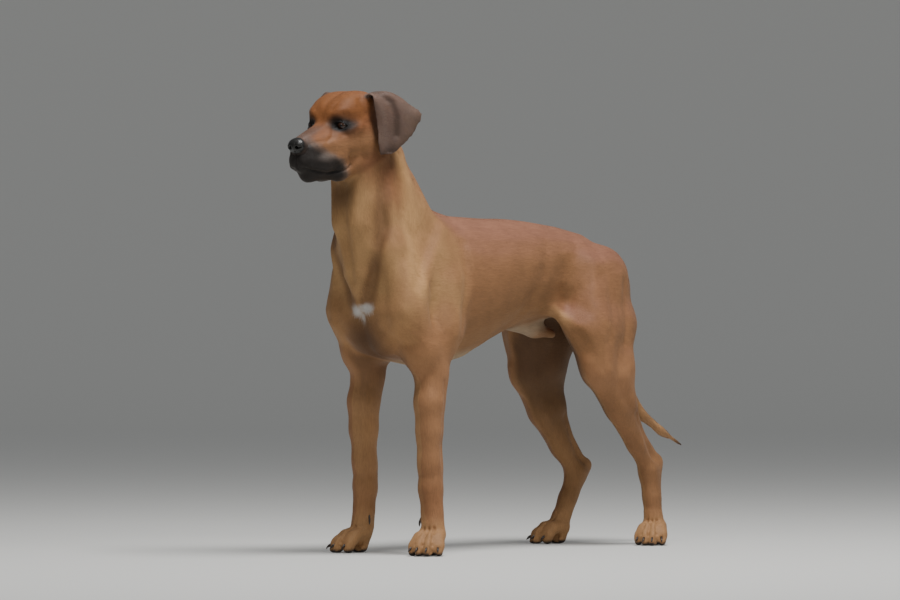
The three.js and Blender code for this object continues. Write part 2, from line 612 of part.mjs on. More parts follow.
// ------------------------------------------------------------------ simplifying
// Edge collapse by quadric error. weight(p) says how much an error counts there. Seams stay in their planes.
function simplify({ vertices, triangles, onSeam }, target, weight) {
  const count = vertices.length;
  const place = vertices.map((v) => v.slice());
  const quadric = new Float64Array(count * 10);
  const faces = triangles.map((t) => t.slice());
  const around = vertices.map(() => []);
  const normalOf = (a, b, c) => crossed(sub(b, a), sub(c, a));
  faces.forEach((f, n) => {
    const [a, b, c] = f.map((v) => place[v]);
    const normal = normalOf(a, b, c);
    const area = Math.hypot(...normal) || 1e-9;
    const [x, y, z] = scaled(normal, 1 / area);
    const w = -(x * a[0] + y * a[1] + z * a[2]);
    const plane = [x * x, x * y, x * z, x * w, y * y, y * z, y * w, z * z, z * w, w * w];
    const share = area * weight(a);
    for (const v of f) {
      around[v].push(n);
      for (let i = 0; i < 10; i++) quadric[v * 10 + i] += plane[i] * share;
    }
  });
  const errorAt = (q, [x, y, z]) =>
    q[0] * x * x + 2 * q[1] * x * y + 2 * q[2] * x * z + 2 * q[3] * x + q[4] * y * y + 2 * q[5] * y * z +
    2 * q[6] * y + q[7] * z * z + 2 * q[8] * z + q[9];
  const sameSeam = (a, b, c) => onSeam[a] && onSeam[a] === onSeam[b] && onSeam[a] === onSeam[c];
  const bestPlace = (q, a, b) => {
    const held = onSeam[a] || onSeam[b];
    const free = freePlace(q, a, b);
    return held ? sub(free, scaled(seams[held - 1].normal, seams[held - 1].above(free))) : free;
  };
  const freePlace = (q, a, b) => {
    const m = new THREE.Matrix3().set(q[0], q[1], q[2], q[1], q[4], q[5], q[2], q[5], q[7]);
    const tries = [mix(place[a], place[b], 0.5), place[a], place[b]];
    const scale = (q[0] + q[4] + q[7]) / 3;
    if (Math.abs(m.determinant()) > 1e-4 * scale ** 3) {
      const p = new THREE.Vector3(-q[3], -q[6], -q[8]).applyMatrix3(m.invert());
      const found = [p.x, p.y, p.z];
      if (Math.hypot(...sub(found, tries[0])) < 2 * Math.hypot(...sub(place[a], place[b]))) return found;
    }
    return tries.sort((p, r) => errorAt(q, p) - errorAt(q, r))[0];
  };
  const stamp = new Int32Array(count);
  const heap = [];
  const swap = (i, j) => { [heap[i], heap[j]] = [heap[j], heap[i]]; };
  const push = (item) => {
    let i = heap.push(item) - 1;
    while (i && heap[i].cost < heap[(i - 1) >> 1].cost) {
      swap(i, (i - 1) >> 1);
      i = (i - 1) >> 1;
    }
  };
  const pop = () => {
    const top = heap[0];
    const last = heap.pop();
    if (!heap.length) return top;
    heap[0] = last;
    for (let i = 0; ;) {
      let small = i;
      for (const child of [2 * i + 1, 2 * i + 2])
        if (child < heap.length && heap[child].cost < heap[small].cost) small = child;
      if (small === i) return top;
      swap(i, small);
      i = small;
    }
  };
  const offer = (a, b) => {
    const q = new Float64Array(10);
    for (let i = 0; i < 10; i++) q[i] = quadric[a * 10 + i] + quadric[b * 10 + i];
    const to = bestPlace(q, a, b);
    const length = Math.hypot(...sub(place[a], place[b]));
    push({ cost: errorAt(q, to) + 1e-5 * length ** 4 * weight(to), a, b, to, stamp: stamp[a] + stamp[b] });
  };
  const neighbours = (v) => {
    const found = new Set();
    for (const f of around[v]) for (const u of faces[f]) if (u !== v) found.add(u);
    return found;
  };
  for (let v = 0; v < count; v++) for (const u of neighbours(v)) if (u > v) offer(v, u);
  const turnsOver = (v, other, to) => around[v].some((n) => {
    const f = faces[n];
    if (f.includes(other)) return false;
    const before = normalOf(...f.map((u) => place[u]));
    const after = normalOf(...f.map((u) => (u === v ? to : place[u])));
    return dot(before, after) < 0.3 * Math.hypot(...before) * Math.hypot(...after);
  });
  let left = faces.length;
  const part = partsOf({ triangles, onSeam });
  const gone = new Uint8Array(count);
  while (left > target && heap.length) {
    const { a, b, to, stamp: made } = pop();
    if (gone[a] || gone[b] || stamp[a] + stamp[b] !== made) continue;
    const nearB = neighbours(b);
    const shared = [...neighbours(a)].filter((u) => nearB.has(u));
    if (shared.length !== 2 || turnsOver(a, b, to) || turnsOver(b, a, to)) continue;
    const dead = around[a].filter((n) => faces[n].includes(b));
    if (onSeam[a] && onSeam[b]) {
      if (onSeam[a] !== onSeam[b] || part[dead[0]] === part[dead[1]]) continue;
    } else if (onSeam[a] || onSeam[b]) {
      const [held, loose] = onSeam[a] ? [a, b] : [b, a];
      const flattens = around[loose].some((n) => !faces[n].includes(held) &&
        sameSeam(held, ...faces[n].filter((v) => v !== loose)));
      if (flattens) continue;
      onSeam[a] = onSeam[held];
    }
    for (const n of dead)
      for (const v of faces[n]) if (v !== a && v !== b) around[v] = around[v].filter((m) => m !== n);
    around[a] = around[a].filter((n) => !dead.includes(n));
    for (const n of around[b]) {
      if (dead.includes(n)) continue;
      faces[n] = faces[n].map((v) => (v === b ? a : v));
      around[a].push(n);
    }
    for (const n of dead) faces[n] = null;
    left -= dead.length;
    gone[b] = 1;
    place[a] = to;
    for (let i = 0; i < 10; i++) quadric[a * 10 + i] += quadric[b * 10 + i];
    stamp[a] += 1 + stamp[b];
    for (const u of neighbours(a)) offer(a, u);
  }
  const kept = faces.map((f, n) => n).filter((n) => faces[n]);
  return { vertices: place, triangles: kept.map((n) => faces[n]), part: kept.map((n) => part[n]), onSeam };
}

// ------------------------------------------------------------------ solids
const wasm = await Module();
wasm.setup();

function geometryOf({ vertices, triangles }) {
  const geometry = new THREE.BufferGeometry();
  geometry.setAttribute("position", new THREE.BufferAttribute(new Float32Array(vertices.flat()), 3));
  geometry.setIndex(triangles.flat());
  return geometry;
}

function solid(geometry) {
  const bare = geometry.clone();
  bare.deleteAttribute("normal");
  bare.deleteAttribute("uv");
  const merged = mergeVertices(bare, 1e-4);
  return new wasm.Manifold(new wasm.Mesh({
    numProp: 3,
    vertProperties: merged.attributes.position.array,
    triVerts: new Uint32Array(merged.index.array),
  }));
}

function geometryFrom(manifold) {
  const { vertProperties, triVerts } = manifold.getMesh();
  const geometry = new THREE.BufferGeometry();
  geometry.setAttribute("position", new THREE.BufferAttribute(vertProperties, 3));
  geometry.setIndex(new THREE.BufferAttribute(triVerts, 1));
  geometry.computeVertexNormals();
  return geometry;
}

const basisOf = (axes) => new THREE.Matrix4().makeBasis(...axes.map((v) => new THREE.Vector3(...v)));

// ------------------------------------------------------------------ ears
// A hanging flap, as rows from its root to its tip: [front edge, rear edge, outward bulge], with each edge
// given forwards, left and up in the head's frame, for the left ear. The right ear lies closer to the head.
const EAR_ROWS = [
  [[-70, 42, 28], [-107, 38, 22], 2],
  [[-69, 59, 49], [-116, 60, 42], 3],
  [[-67, 69, 43], [-133, 85, 33], 6],
  [[-67, 71, 20], [-149, 106, 10], 8],
  [[-66, 71, -8], [-154, 119, -15], 8],
  [[-63, 71, -36], [-144, 118, -40], 6],
  [[-59, 72, -58], [-119, 106, -60], 4],
  [[-57, 75, -75], [-84, 90, -80], 2],
];
const EAR_COLUMNS = 5;
const EAR_THICK = 5;
const RIGHT_EAR_BACK = 12; // how much further back it hangs
const RIGHT_EAR_CLOSE = 0.55; // what is left of its spread beyond 60 mm from the middle

function ear(side) {
  const rows = EAR_ROWS.length;
  const middle = EAR_ROWS.map(([front, rear]) => Array.from({ length: EAR_COLUMNS + 1 }, (_, c) => {
    const [f, l, u] = mix(front, rear, c / EAR_COLUMNS);
    return side > 0 ? [f, l, u] : [f - RIGHT_EAR_BACK, Math.min(l, 60 + (l - 60) * RIGHT_EAR_CLOSE), u];
  }));
  const face = (outer) => middle.map((line, r) => line.map((p, c) => {
    const down = sub(middle[Math.min(r + 1, rows - 1)][c], middle[Math.max(r - 1, 0)][c]);
    const across = sub(line[Math.min(c + 1, EAR_COLUMNS)], line[Math.max(c - 1, 0)]);
    const arch = Math.sin((Math.PI * c) / EAR_COLUMNS);
    const out = EAR_ROWS[r][2] * arch + outer * EAR_THICK * 0.5 * (0.6 + 0.4 * arch);
    const [f, l, u] = add(p, scaled(unit(crossed(down, across)), out));
    return inHead(f, l * side, u);
  }));
  const vertices = [...face(1).flat(), ...face(-1).flat()];
  const wide = EAR_COLUMNS + 1;
  const inner = rows * wide;
  const triangles = [];
  const quad = (a, b, c, d) => triangles.push([a, b, c], [a, c, d]);
  for (let r = 0; r < rows - 1; r++)
    for (let c = 0; c < EAR_COLUMNS; c++) {
      const a = r * wide + c;
      quad(a, a + wide, a + wide + 1, a + 1);
      quad(inner + a, inner + a + 1, inner + a + wide + 1, inner + a + wide);
    }
  for (let c = 0; c < EAR_COLUMNS; c++) {
    const tip = (rows - 1) * wide + c;
    quad(c, c + 1, inner + c + 1, inner + c);
    quad(tip + 1, tip, inner + tip, inner + tip + 1);
  }
  for (let r = 0; r < rows - 1; r++) {
    const a = r * wide;
    const b = a + EAR_COLUMNS;
    quad(a + wide, a, inner + a, inner + a + wide);
    quad(b, b + wide, inner + b + wide, inner + b);
  }
  if (side < 0) triangles.forEach((t) => t.reverse());
  return solid(geometryOf({ vertices, triangles }));
}

// ------------------------------------------------------------------ claws
const CLAW = { length: 15, radius: 4.4, sides: 5, root: 9 };

// A short hooked horn from a root point along a direction, curving down. grown makes the hole that it sits
// in.
function claw({ root, direction, size = 1 }, grown = 0) {
  const [forward, , sideways] = framed(direction, Z);
  const up = crossed(sideways, forward);
  const { length, radius, sides } = CLAW;
  const reach = length * size;
  const stations = [[-CLAW.root - grown, 0, 0.9], [reach * 0.35, 0.6, 0.85], [reach * 0.75, 3.6, 0.5]];
  const vertices = [];
  for (const [f, drop, share] of stations)
    for (let n = 0; n < sides; n++) {
      const t = ((n + 0.5) / sides) * 2 * Math.PI;
      const r = radius * share * size + grown;
      const ring = add(scaled(sideways, Math.sin(t) * r * 0.8), scaled(up, Math.cos(t) * r - drop * size));
      vertices.push(add(add(root, scaled(forward, f)), ring));
    }
  const tip = vertices.length;
  const back = tip + 1;
  vertices.push(add(add(root, scaled(forward, reach + grown * size)), scaled(up, -7.5 * size)));
  vertices.push(add(root, scaled(forward, -CLAW.root - grown - 2)));
  const triangles = [];
  for (let i = 0; i < sides; i++) {
    const j = (i + 1) % sides;
    for (const r of [0, sides])
      triangles.push([r + i, r + j, r + sides + j], [r + i, r + sides + j, r + sides + i]);
    triangles.push([2 * sides + i, 2 * sides + j, tip], [j, i, back]);
  }
  let made = solid(geometryOf({ vertices, triangles }));
  if (made.volume() < 0) made = solid(geometryOf({ vertices, triangles: triangles.map((t) => t.reverse()) }));
  return made.subtract(solid(new THREE.BoxGeometry(600, 2000, 40).translate(0, 200, -20 - grown)));
}

// Where the claws of one leg grow: four on the paw, from the inner to the outer.
function clawsOf({ knuckle, turn }, side, breadth) {
  const { forward, outward, at } = pawFrame(knuckle, side, turn);
  return TOES.map(({ tip, root }) => {
    const splay = Math.atan2((tip[1] - root[1]) * breadth, tip[0] - root[0]);
    const along = add(scaled(forward, Math.cos(splay)), scaled(outward, Math.sin(splay)));
    return { root: at(tip[0] + 4, tip[1] * breadth, 17), direction: add(along, [0, 0, -0.28]) };
  });
}

function dewclawOf({ knuckle, turn }, side) {
  const foot = [knuckle[0] * side, knuckle[1], knuckle[2]];
  const root = add(mix([CARPUS[0] * side, CARPUS[1], CARPUS[2]], foot, 0.78), [-26.5 * side, -6, 0]);
  return { root, direction: [-0.35 * side, -0.25, -0.9], size: 0.8 };
}

// ------------------------------------------------------------------ materials
const material = (color, roughness) => new THREE.MeshStandardMaterial({ color, roughness, metalness: 0 });
const COAT = material(0x9a6240, 0.62);
const EAR_COAT = material(0x5d4438, 0.66);
const NOSE_SKIN = material(0x1b1c1f, 0.45);
const EYE_GLASS = material(0x1f140d, 0.08);
const HORN = material(0x1d1a18, 0.4);

// ------------------------------------------------------------------ the flesh as one solid
trunk();
neck();
head();
foreleg(1, LEFT_FORE);
foreleg(-1, RIGHT_FORE);
hindleg(1, LEFT_HIND);
hindleg(-1, RIGHT_HIND);
tail();

// Errors on the head and the paws count most, then the lower legs and the tail.
function weight([x, y, z]) {
  const toHead = Math.hypot(...sub([x, y, z], inHead(0, 0, -20)));
  if (toHead < 150) return 70;
  if (z < 75) return 7;
  if (y > 700 || (y > 640 && z > 260)) return 0.7;
  return z < 340 ? 3 : 1;
}
const SIDES = [["left", 1, LEFT_FORE, LEFT_HIND], ["right", -1, RIGHT_FORE, RIGHT_HIND]];
seam([4, -98, 786], [0, -0.637, 0.771], X, 240, 262); // skull from neck
seam([0, -5, 622], [0, -0.565, 0.825], X, 300, 330); // neck from chest
seam([0, 330, 560], Y, X, 300, 320); // chest from loin
seam([0, 659, 506], [0, 0.25, -1], X, 60, 60); // tail from rump
for (const [, side, , hind] of SIDES) {
  const flip = (p) => [p[0] * side, p[1], p[2]];
  seam(flip([92, 20, 408]), flip([-0.638, 0, 0.77]), Y, 230, 130); // foreleg from shoulder
  seam(flip([94, 16, 98]), Z, X, 90, 110); // front paw
  seam(flip([73, 505, 513]), flip([1, 0.3, -0.79]), Y, 256, 190); // thigh from rump
  const stifle = flip(hind.stifle);
  const hock = flip(hind.hock);
  seam(mix(stifle, hock, 0.16), sub(hock, stifle), X, 116, 250); // shank from thigh
  seam([hock[0], hock[1], hock[2] - 34], Z, X, 80, 110); // hind paw
}

let fine = meshField([-160, -360, -12], [160, 880, 930], GRID);
fine.onSeam = fine.vertices.map(() => 0);
seams.forEach((plane, n) => { fine = splitAlong(fine, plane, n + 1); });
const coarse = simplify(fine, FLESH_TRIANGLES, weight);
const settled = coarse.vertices.map((v, n) => {
  const plane = seams[coarse.onSeam[n] - 1];
  const level = (p) => (plane ? sub(p, scaled(plane.normal, plane.above(p))) : p);
  return level(ontoSurface(masses, level(ontoSurface(masses, v, 6)), 6));
});

// Each part takes the name of the point that lies nearest to its middle.
const NAMES = [
  ["head", inHead(-50, 0, -15)], ["neck", [0, -50, 700]], ["chest", [0, 120, 520]],
  ["loin", [0, 470, 560]], ["tail", [5, 740, 350]],
];
for (const [name, side, fore, hind] of SIDES) {
  const flip = (p) => [p[0] * side, p[1], p[2]];
  NAMES.push([`foreleg_${name}`, flip([90, 20, 260])], [`front_paw_${name}`, flip([94, 0, 45])],
    [`thigh_${name}`, flip([80, 530, 460])], [`shank_${name}`, mix(flip(hind.stifle), flip(hind.hock), 0.6)],
    [`hind_paw_${name}`, flip([hind.knuckle[0], hind.knuckle[1], 55])]);
}
const floor = solid(new THREE.BoxGeometry(600, 2000, 40).translate(0, 200, -20));
const parts = {};
for (const label of new Set(coarse.part)) {
  const faces = coarse.triangles.filter((_, n) => coarse.part[n] === label);
  const closed = closedPart(settled, faces, coarse.onSeam);
  if (closed.volume() < 0) continue; // a hollow inside the flesh is filled
  const piece = closed.subtract(floor); // soles cut flat
  const { min, max } = piece.boundingBox();
  const middle = scaled(add(min, max), 0.5);
  const away = ([, point]) => Math.hypot(...sub(point, middle));
  const [name] = NAMES.slice().sort((a, b) => away(a) - away(b))[0];
  if (parts[name]) throw new Error(`two parts are nearest to ${name}`);
  parts[name] = piece;
}

// ------------------------------------------------------------------ eyes, ears and claws
const group = new THREE.Group();
function place(name, manifold, finish) {
  const mesh = new THREE.Mesh(geometryFrom(manifold), finish);
  mesh.name = name;
  group.add(mesh);
}

for (const [name, side, fore, hind] of SIDES) {
  const ball = (radius) => solid(new THREE.SphereGeometry(radius, 12, 7).translate(...inHead(...EYE(side))));
  place(`eye_${name}`, ball(EYE_RADIUS), EYE_GLASS);
  const look = radians(EYE_LOOK);
  const gaze = add(scaled(FORE, Math.cos(look)), scaled(LEFT, Math.sin(look) * side));
  const opening = new THREE.SphereGeometry(1, 12, 6).scale(...EYE_OPENING);
  opening.applyMatrix4(basisOf([gaze, crossed(UP, gaze), UP]));
  opening.translate(...add(inHead(...EYE(side)), scaled(gaze, EYE_RADIUS)));
  parts.head = parts.head.subtract(ball(EYE_RADIUS + GAP)).subtract(solid(opening));

  const claws = [
    [`front_paw_${name}`, "claw_fore", clawsOf(fore, side, 1)],
    [`hind_paw_${name}`, "claw_hind", clawsOf(hind, side, 0.9)],
    [`front_paw_${name}`, "dewclaw", [dewclawOf(fore, side)]],
  ];
  for (const [paw, label, list] of claws)
    list.forEach((at, n) => {
      place(list.length > 1 ? `${label}_${name}_${n + 1}` : `${label}_${name}`, claw(at), HORN);
      parts[paw] = parts[paw].subtract(claw(at, GAP));
    });
}

// ------------------------------------------------------------------ thin cuts on the head
// Each slab is as thick as the gap: its middle, the direction square to it, a guide along its length, its
// length and its width. What they part from the head comes back.
function cutHead(slabs) {
  for (const [centre, direction, guide, length, width] of slabs) {
    const [third, first, second] = framed(direction, guide);
    const slab = new THREE.BoxGeometry(length, width, GAP).applyMatrix4(basisOf([first, second, third]));
    parts.head = parts.head.subtract(solid(slab.translate(...centre)));
  }
  const [largest, second] = parts.head.decompose().sort((a, b) => b.volume() - a.volume());
  parts.head = largest;
  return second;
}

const underNose = [inHead(98, 0, -31), UP, FORE, 34, 60];
const behindNose = [inHead(91, 0, -10), FORE, LEFT, 60, 42.15];
place("nose", cutHead([underNose, behindNose]), NOSE_SKIN);
const mouth = [inHead(55, 0, -75), UP, FORE, 126, 110];
const behindJaw = [inHead(-8, 0, -100), FORE, LEFT, 110, 50.15];
parts.lower_jaw = cutHead([mouth, behindJaw]);
for (const [name, side] of SIDES) {
  parts.head = parts.head.add(ear(side));
  const root = inHead(side > 0 ? -91 : -91 - RIGHT_EAR_BACK, 57.3 * side, 42.5);
  const outAndUp = add(scaled(LEFT, 0.8 * side), scaled(UP, 0.6));
  place(`ear_${name}`, cutHead([[root, outAndUp, FORE, 88, 18]]), EAR_COAT);
}
for (const [name, piece] of Object.entries(parts)) place(name, piece, COAT);

// The origin goes to the middle of the footprint, on the floor.
const bounds = new THREE.Box3().setFromObject(group);
const middle = bounds.getCenter(new THREE.Vector3());
for (const mesh of group.children) mesh.geometry.translate(-middle.x, -middle.y, -bounds.min.z);

export default group;
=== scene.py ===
import json
import math

import bmesh
import bpy
import numpy as np
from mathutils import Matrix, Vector
from mathutils.bvhtree import BVHTree

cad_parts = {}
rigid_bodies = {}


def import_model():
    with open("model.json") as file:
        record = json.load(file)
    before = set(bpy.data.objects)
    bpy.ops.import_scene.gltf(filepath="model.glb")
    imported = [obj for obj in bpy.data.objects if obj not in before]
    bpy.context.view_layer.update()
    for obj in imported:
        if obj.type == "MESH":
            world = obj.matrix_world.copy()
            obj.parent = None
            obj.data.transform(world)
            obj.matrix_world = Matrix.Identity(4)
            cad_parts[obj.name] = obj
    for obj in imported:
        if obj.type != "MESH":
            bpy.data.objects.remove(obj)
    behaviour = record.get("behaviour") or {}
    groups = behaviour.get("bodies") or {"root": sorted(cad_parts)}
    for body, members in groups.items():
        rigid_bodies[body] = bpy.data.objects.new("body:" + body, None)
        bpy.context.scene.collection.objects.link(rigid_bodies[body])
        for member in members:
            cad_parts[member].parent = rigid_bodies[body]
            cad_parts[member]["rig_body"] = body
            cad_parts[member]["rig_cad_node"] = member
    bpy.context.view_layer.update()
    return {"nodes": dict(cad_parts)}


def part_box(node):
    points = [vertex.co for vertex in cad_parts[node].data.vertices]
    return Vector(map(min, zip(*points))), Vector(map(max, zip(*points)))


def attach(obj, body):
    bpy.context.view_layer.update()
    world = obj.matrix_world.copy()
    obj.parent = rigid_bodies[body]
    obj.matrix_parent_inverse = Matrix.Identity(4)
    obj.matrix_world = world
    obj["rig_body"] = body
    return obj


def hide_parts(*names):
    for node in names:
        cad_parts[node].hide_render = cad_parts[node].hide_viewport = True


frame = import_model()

# Floor and backdrop: a round studio floor of pale, matt, seamless paper. It lies flat around the animal, and
# curves up on all sides far away from it.
RISE_START = 12.5  # metres from the middle
RISE_RADIUS = 3.0
RISE_STEPS = 24
ROUND_SIDES = 96


def linear(code):
    """The linear values of an sRGB hex colour."""
    parts = [int(code[i:i + 2], 16) / 255 for i in (1, 3, 5)]
    return [p / 12.92 if p <= 0.04045 else ((p + 0.055) / 1.055) ** 2.4 for p in parts]


def add_node(material, kind, links=(), **settings):
    """Adds a shader node with its settings, and links (output socket, input name) pairs into it."""
    node = material.node_tree.nodes.new(kind)
    for name, value in settings.items():
        if name in node.inputs:
            node.inputs[name].default_value = value
        elif hasattr(node, name):
            setattr(node, name, value)
        else:
            node.inputs[name.replace("_", " ")].default_value = value
    for output, name in links:
        material.node_tree.links.new(output, node.inputs[name])
    return node


def new_material(name, **settings):
    """A principled material with these constant values, and its shader."""
    material = bpy.data.materials.new(name)
    material.use_nodes = True
    shader = material.node_tree.nodes["Principled BSDF"]
    for socket, value in settings.items():
        shader.inputs[socket.replace("_", " ")].default_value = value
    return material, shader


bpy.ops.object.select_all(action="DESELECT")
bpy.ops.mesh.primitive_circle_add(vertices=ROUND_SIDES, radius=RISE_START, fill_type="NGON",
                                  location=(0, 0, 0))
floor = bpy.context.object
floor.name = "studio_floor"
rim = bmesh.new()
rim.from_mesh(floor.data)
edge = list(rim.edges)
for step in range(1, RISE_STEPS + 1):
    turned = math.pi / 2 * step / RISE_STEPS
    outwards = RISE_START + RISE_RADIUS * math.sin(turned)
    grown = bmesh.ops.extrude_edge_only(rim, edges=edge)["geom"]
    edge = [g for g in grown if isinstance(g, bmesh.types.BMEdge) and g.is_boundary]
    for vertex in {v for e in edge for v in e.verts}:
        flat = Vector((vertex.co.x, vertex.co.y)).normalized() * outwards
        vertex.co = (flat.x, flat.y, RISE_RADIUS * (1 - math.cos(turned)))
bmesh.ops.recalc_face_normals(rim, faces=rim.faces)
if sum(f.normal.z for f in rim.faces) < 0:
    bmesh.ops.reverse_faces(rim, faces=rim.faces)
rim.to_mesh(floor.data)
rim.free()
bpy.ops.object.shade_smooth()
# The paper is matt, and a faint glow stands for the light that the room throws back on it.
paper, paper_shader = new_material("seamless_paper", Roughness=0.9, Specular_IOR_Level=0.15,
                                   Emission_Strength=0.125)
paper_shader.inputs["Emission Color"].default_value = (*linear("#e4e5e4"), 1)
paper_shader.inputs["Base Color"].default_value = (*linear("#c6c5c1"), 1)
floor.data.materials.append(paper)

# Studio light: a large soft box overhead, a weak one off the left flank and another in front, and pale
# surroundings that fill the shade.
SURROUNDINGS = 0.19
LIT_HEIGHT = 0.55  # metres above the floor, where the lamps aim
LAMPS = [  # name, place, size, watts
    ("softbox_overhead", (1.1, -0.5, 3.6), 1.5, 172),
    ("softbox_flank", (4.6, 0.6, 2.6), 2.0, 30),
    ("softbox_front", (2.0, -4.2, 3.2), 2.2, 24),
]
world = bpy.data.worlds.new("studio")
bpy.context.scene.world = world
world.use_nodes = True
background = world.node_tree.nodes["Background"]
background.inputs["Color"].default_value = (*linear("#dfe4e8"), 1)
background.inputs["Strength"].default_value = SURROUNDINGS
for name, place, size, watts in LAMPS:
    bpy.ops.object.light_add(type="AREA", location=place)
    lamp = bpy.context.object
    lamp.name = name
    lamp.data.shape = "DISK"
    lamp.data.size = size
    lamp.data.energy = watts
    aim = Vector((0, 0, LIT_HEIGHT)) - Vector(place)
    lamp.rotation_euler = aim.to_track_quat("-Z", "Y").to_euler()

# Camera: a long lens at the height of the chest, ten metres away, in front of the animal and to its left. It
# looks almost level.
CAMERA_PLACE = Vector((6.9335, -7.2974, 0.45))
CAMERA_TURN = math.radians(46)  # how far the view is turned from looking straight at the left side
CAMERA_RISE = 0.0052  # how much the view climbs per metre
bpy.ops.object.camera_add(location=CAMERA_PLACE)
camera = bpy.context.object
camera.data.lens = 200
camera.data.sensor_width = 36
camera.data.clip_end = 60
view = Vector((-math.cos(CAMERA_TURN), math.sin(CAMERA_TURN), CAMERA_RISE))
camera.rotation_euler = view.to_track_quat("-Z", "Y").to_euler()
bpy.context.scene.camera = camera

# Measures: the body's own is millimetres from a point on the floor between the shoulders, x to the left, y to
# the tail, z up. The head's own starts between the eyes: forwards along the muzzle, to the left, and up.
MM = 1000
HEAD_DIP = math.radians(14)
EYES_FROM_ORIGIN = Vector((9, -196, 838))  # the point between the eyes
EYES_BEHIND = 9  # how far the eyeballs lie behind it

eye_places = {side: sum(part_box(f"eye_{name}"), Vector()) / 2 for name, side in (("left", 1), ("right", -1))}
leftwards = (eye_places[1] - eye_places[-1]).normalized()
forwards = Vector((leftwards.y * math.cos(HEAD_DIP), -leftwards.x * math.cos(HEAD_DIP), -math.sin(HEAD_DIP)))
upwards = forwards.cross(leftwards)
eyes_middle = (eye_places[1] + eye_places[-1]) / 2 + forwards * EYES_BEHIND / MM
origin = np.array(eyes_middle - EYES_FROM_ORIGIN / MM)
HEAD_AXES = np.array([forwards, leftwards, upwards])
HEAD_ORIGIN = np.array(EYES_FROM_ORIGIN)


def in_body(points):
    """Points in the body's measure, from metres in the scene."""
    return (np.asarray(points) - origin) * MM


def in_head(points):
    """Points in the head's measure, from the body's measure."""
    return (points - HEAD_ORIGIN) @ HEAD_AXES.T


def from_head(points):
    """Points in the body's measure, from the head's."""
    return np.asarray(points, float) @ HEAD_AXES + HEAD_ORIGIN


# Skin: one closed hide over the whole animal, from the nose to the soles and the tip of the tail. It is the
# solid flesh with its thin cuts healed, rounded, and then worked like clay.
VOXEL = 0.003
CUT = 0.0005  # a little more than the thin cuts between the solids
SOCKET = 0.0128  # how far a socket's wall lies from the eye's centre
SOCKET_SLACK = 0.002  # how far out a face may look and still be that wall, which looks at the eye
HOLE_SIDES = 60  # the most edges around a hole that is closed
FLESH = [name for name in frame["nodes"] if not name.startswith("eye_") and "claw" not in name]


def select_only(*pieces):
    """Selects these pieces alone, the first one active."""
    bpy.ops.object.select_all(action="DESELECT")
    for piece in pieces:
        piece.select_set(True)
    bpy.context.view_layer.objects.active = pieces[0]


def copy_of_solids(names, new_name):
    """One loose, bare piece that holds a copy of these solids."""
    select_only(*(frame["nodes"][name] for name in names))
    bpy.ops.object.duplicate()
    bpy.ops.object.parent_clear(type="CLEAR_KEEP_TRANSFORM")
    if len(names) > 1:
        bpy.ops.object.join()
    piece = bpy.context.object
    piece.name = new_name
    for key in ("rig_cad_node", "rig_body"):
        del piece[key]
    piece.data.materials.clear()
    return piece


skin = copy_of_solids(["chest"] + [name for name in FLESH if name != "chest"], "skin")
flesh = bmesh.new()
flesh.from_mesh(skin.data)
bmesh.ops.remove_doubles(flesh, verts=flesh.verts, dist=CUT)
rims = {v for e in flesh.edges if len(e.link_faces) > 2 for v in e.verts}
walls = [f for f in flesh.faces if all(v in rims for v in f.verts)]
bmesh.ops.delete(flesh, geom=walls, context="FACES_ONLY")
sockets = []
for face in flesh.faces:
    for place in eye_places.values():
        out = face.calc_center_median() - place
        if out.length < SOCKET and out.dot(face.normal) < SOCKET_SLACK:
            sockets.append(face)
bmesh.ops.delete(flesh, geom=sockets, context="FACES_ONLY")
bmesh.ops.delete(flesh, geom=[e for e in flesh.edges if not e.link_faces], context="EDGES")
bmesh.ops.holes_fill(flesh, edges=[e for e in flesh.edges if len(e.link_faces) == 1], sides=HOLE_SIDES)
bmesh.ops.triangulate(flesh, faces=[f for f in flesh.faces if len(f.verts) > 3])
flesh_points = [v.co.copy() for v in flesh.verts]
flesh.verts.index_update()
flesh_faces = [[v.index for v in f.verts] for f in flesh.faces]
flesh.to_mesh(skin.data)
flesh.free()


def apply_modifier(piece, kind, **settings):
    """Adds a modifier with these settings, and applies it."""
    select_only(piece)
    modifier = piece.modifiers.new("shape", kind)
    for name, value in settings.items():
        setattr(modifier, name, value)
    bpy.ops.object.modifier_apply(modifier=modifier.name)


apply_modifier(skin, "SUBSURF", levels=2, render_levels=2)
apply_modifier(skin, "REMESH", mode="VOXEL", voxel_size=VOXEL)


def read(things, what, width, kind=np.float32):
    """What a mesh keeps for each of these things, a row for each."""
    values = np.empty(len(things) * width, kind)
    things.foreach_get(what, values)
    return values.reshape(-1, width)


def points_of(piece):
    """The piece's points, in the body's measure."""
    return in_body(read(piece.data.vertices, "co", 3).astype(float))


def put_points(piece, points):
    """Moves the piece's points to these places."""
    piece.data.vertices.foreach_set("co", (points / MM + origin).astype(np.float32).ravel())
    piece.data.update()


def normals_of(piece):
    """The way out of the piece at each of its points."""
    return read(piece.data.vertex_normals, "vector", 3).astype(float)


def ramp(low, high, value):
    """0 below low, 1 above high, and smooth between them."""
    t = np.clip((value - low) / (high - low), 0, 1)
    return t * t * (3 - 2 * t)


def relax(piece, points, strength, rounds):
    """Moves each point towards the mean of its neighbours, by its own strength."""
    a, b = read(piece.data.edges, "vertices", 2, np.int32).T
    count = np.bincount(a, minlength=len(points)) + np.bincount(b, minlength=len(points))
    for _ in range(rounds):
        mean = np.empty_like(points)
        for i in range(points.shape[1]):
            total = np.bincount(a, points[b, i], len(points)) + np.bincount(b, points[a, i], len(points))
            mean[:, i] = total / count
        points = points + (mean - points) * strength[:, None]
    return points


def near_head(points):
    """1 on the skull and muzzle, 0 from the neck back."""
    h = in_head(points)
    return ramp(-128, -104, h[:, 0] + 0.35 * h[:, 2]) * ramp(-116, -102, h[:, 2] + 0.3 * h[:, 0])


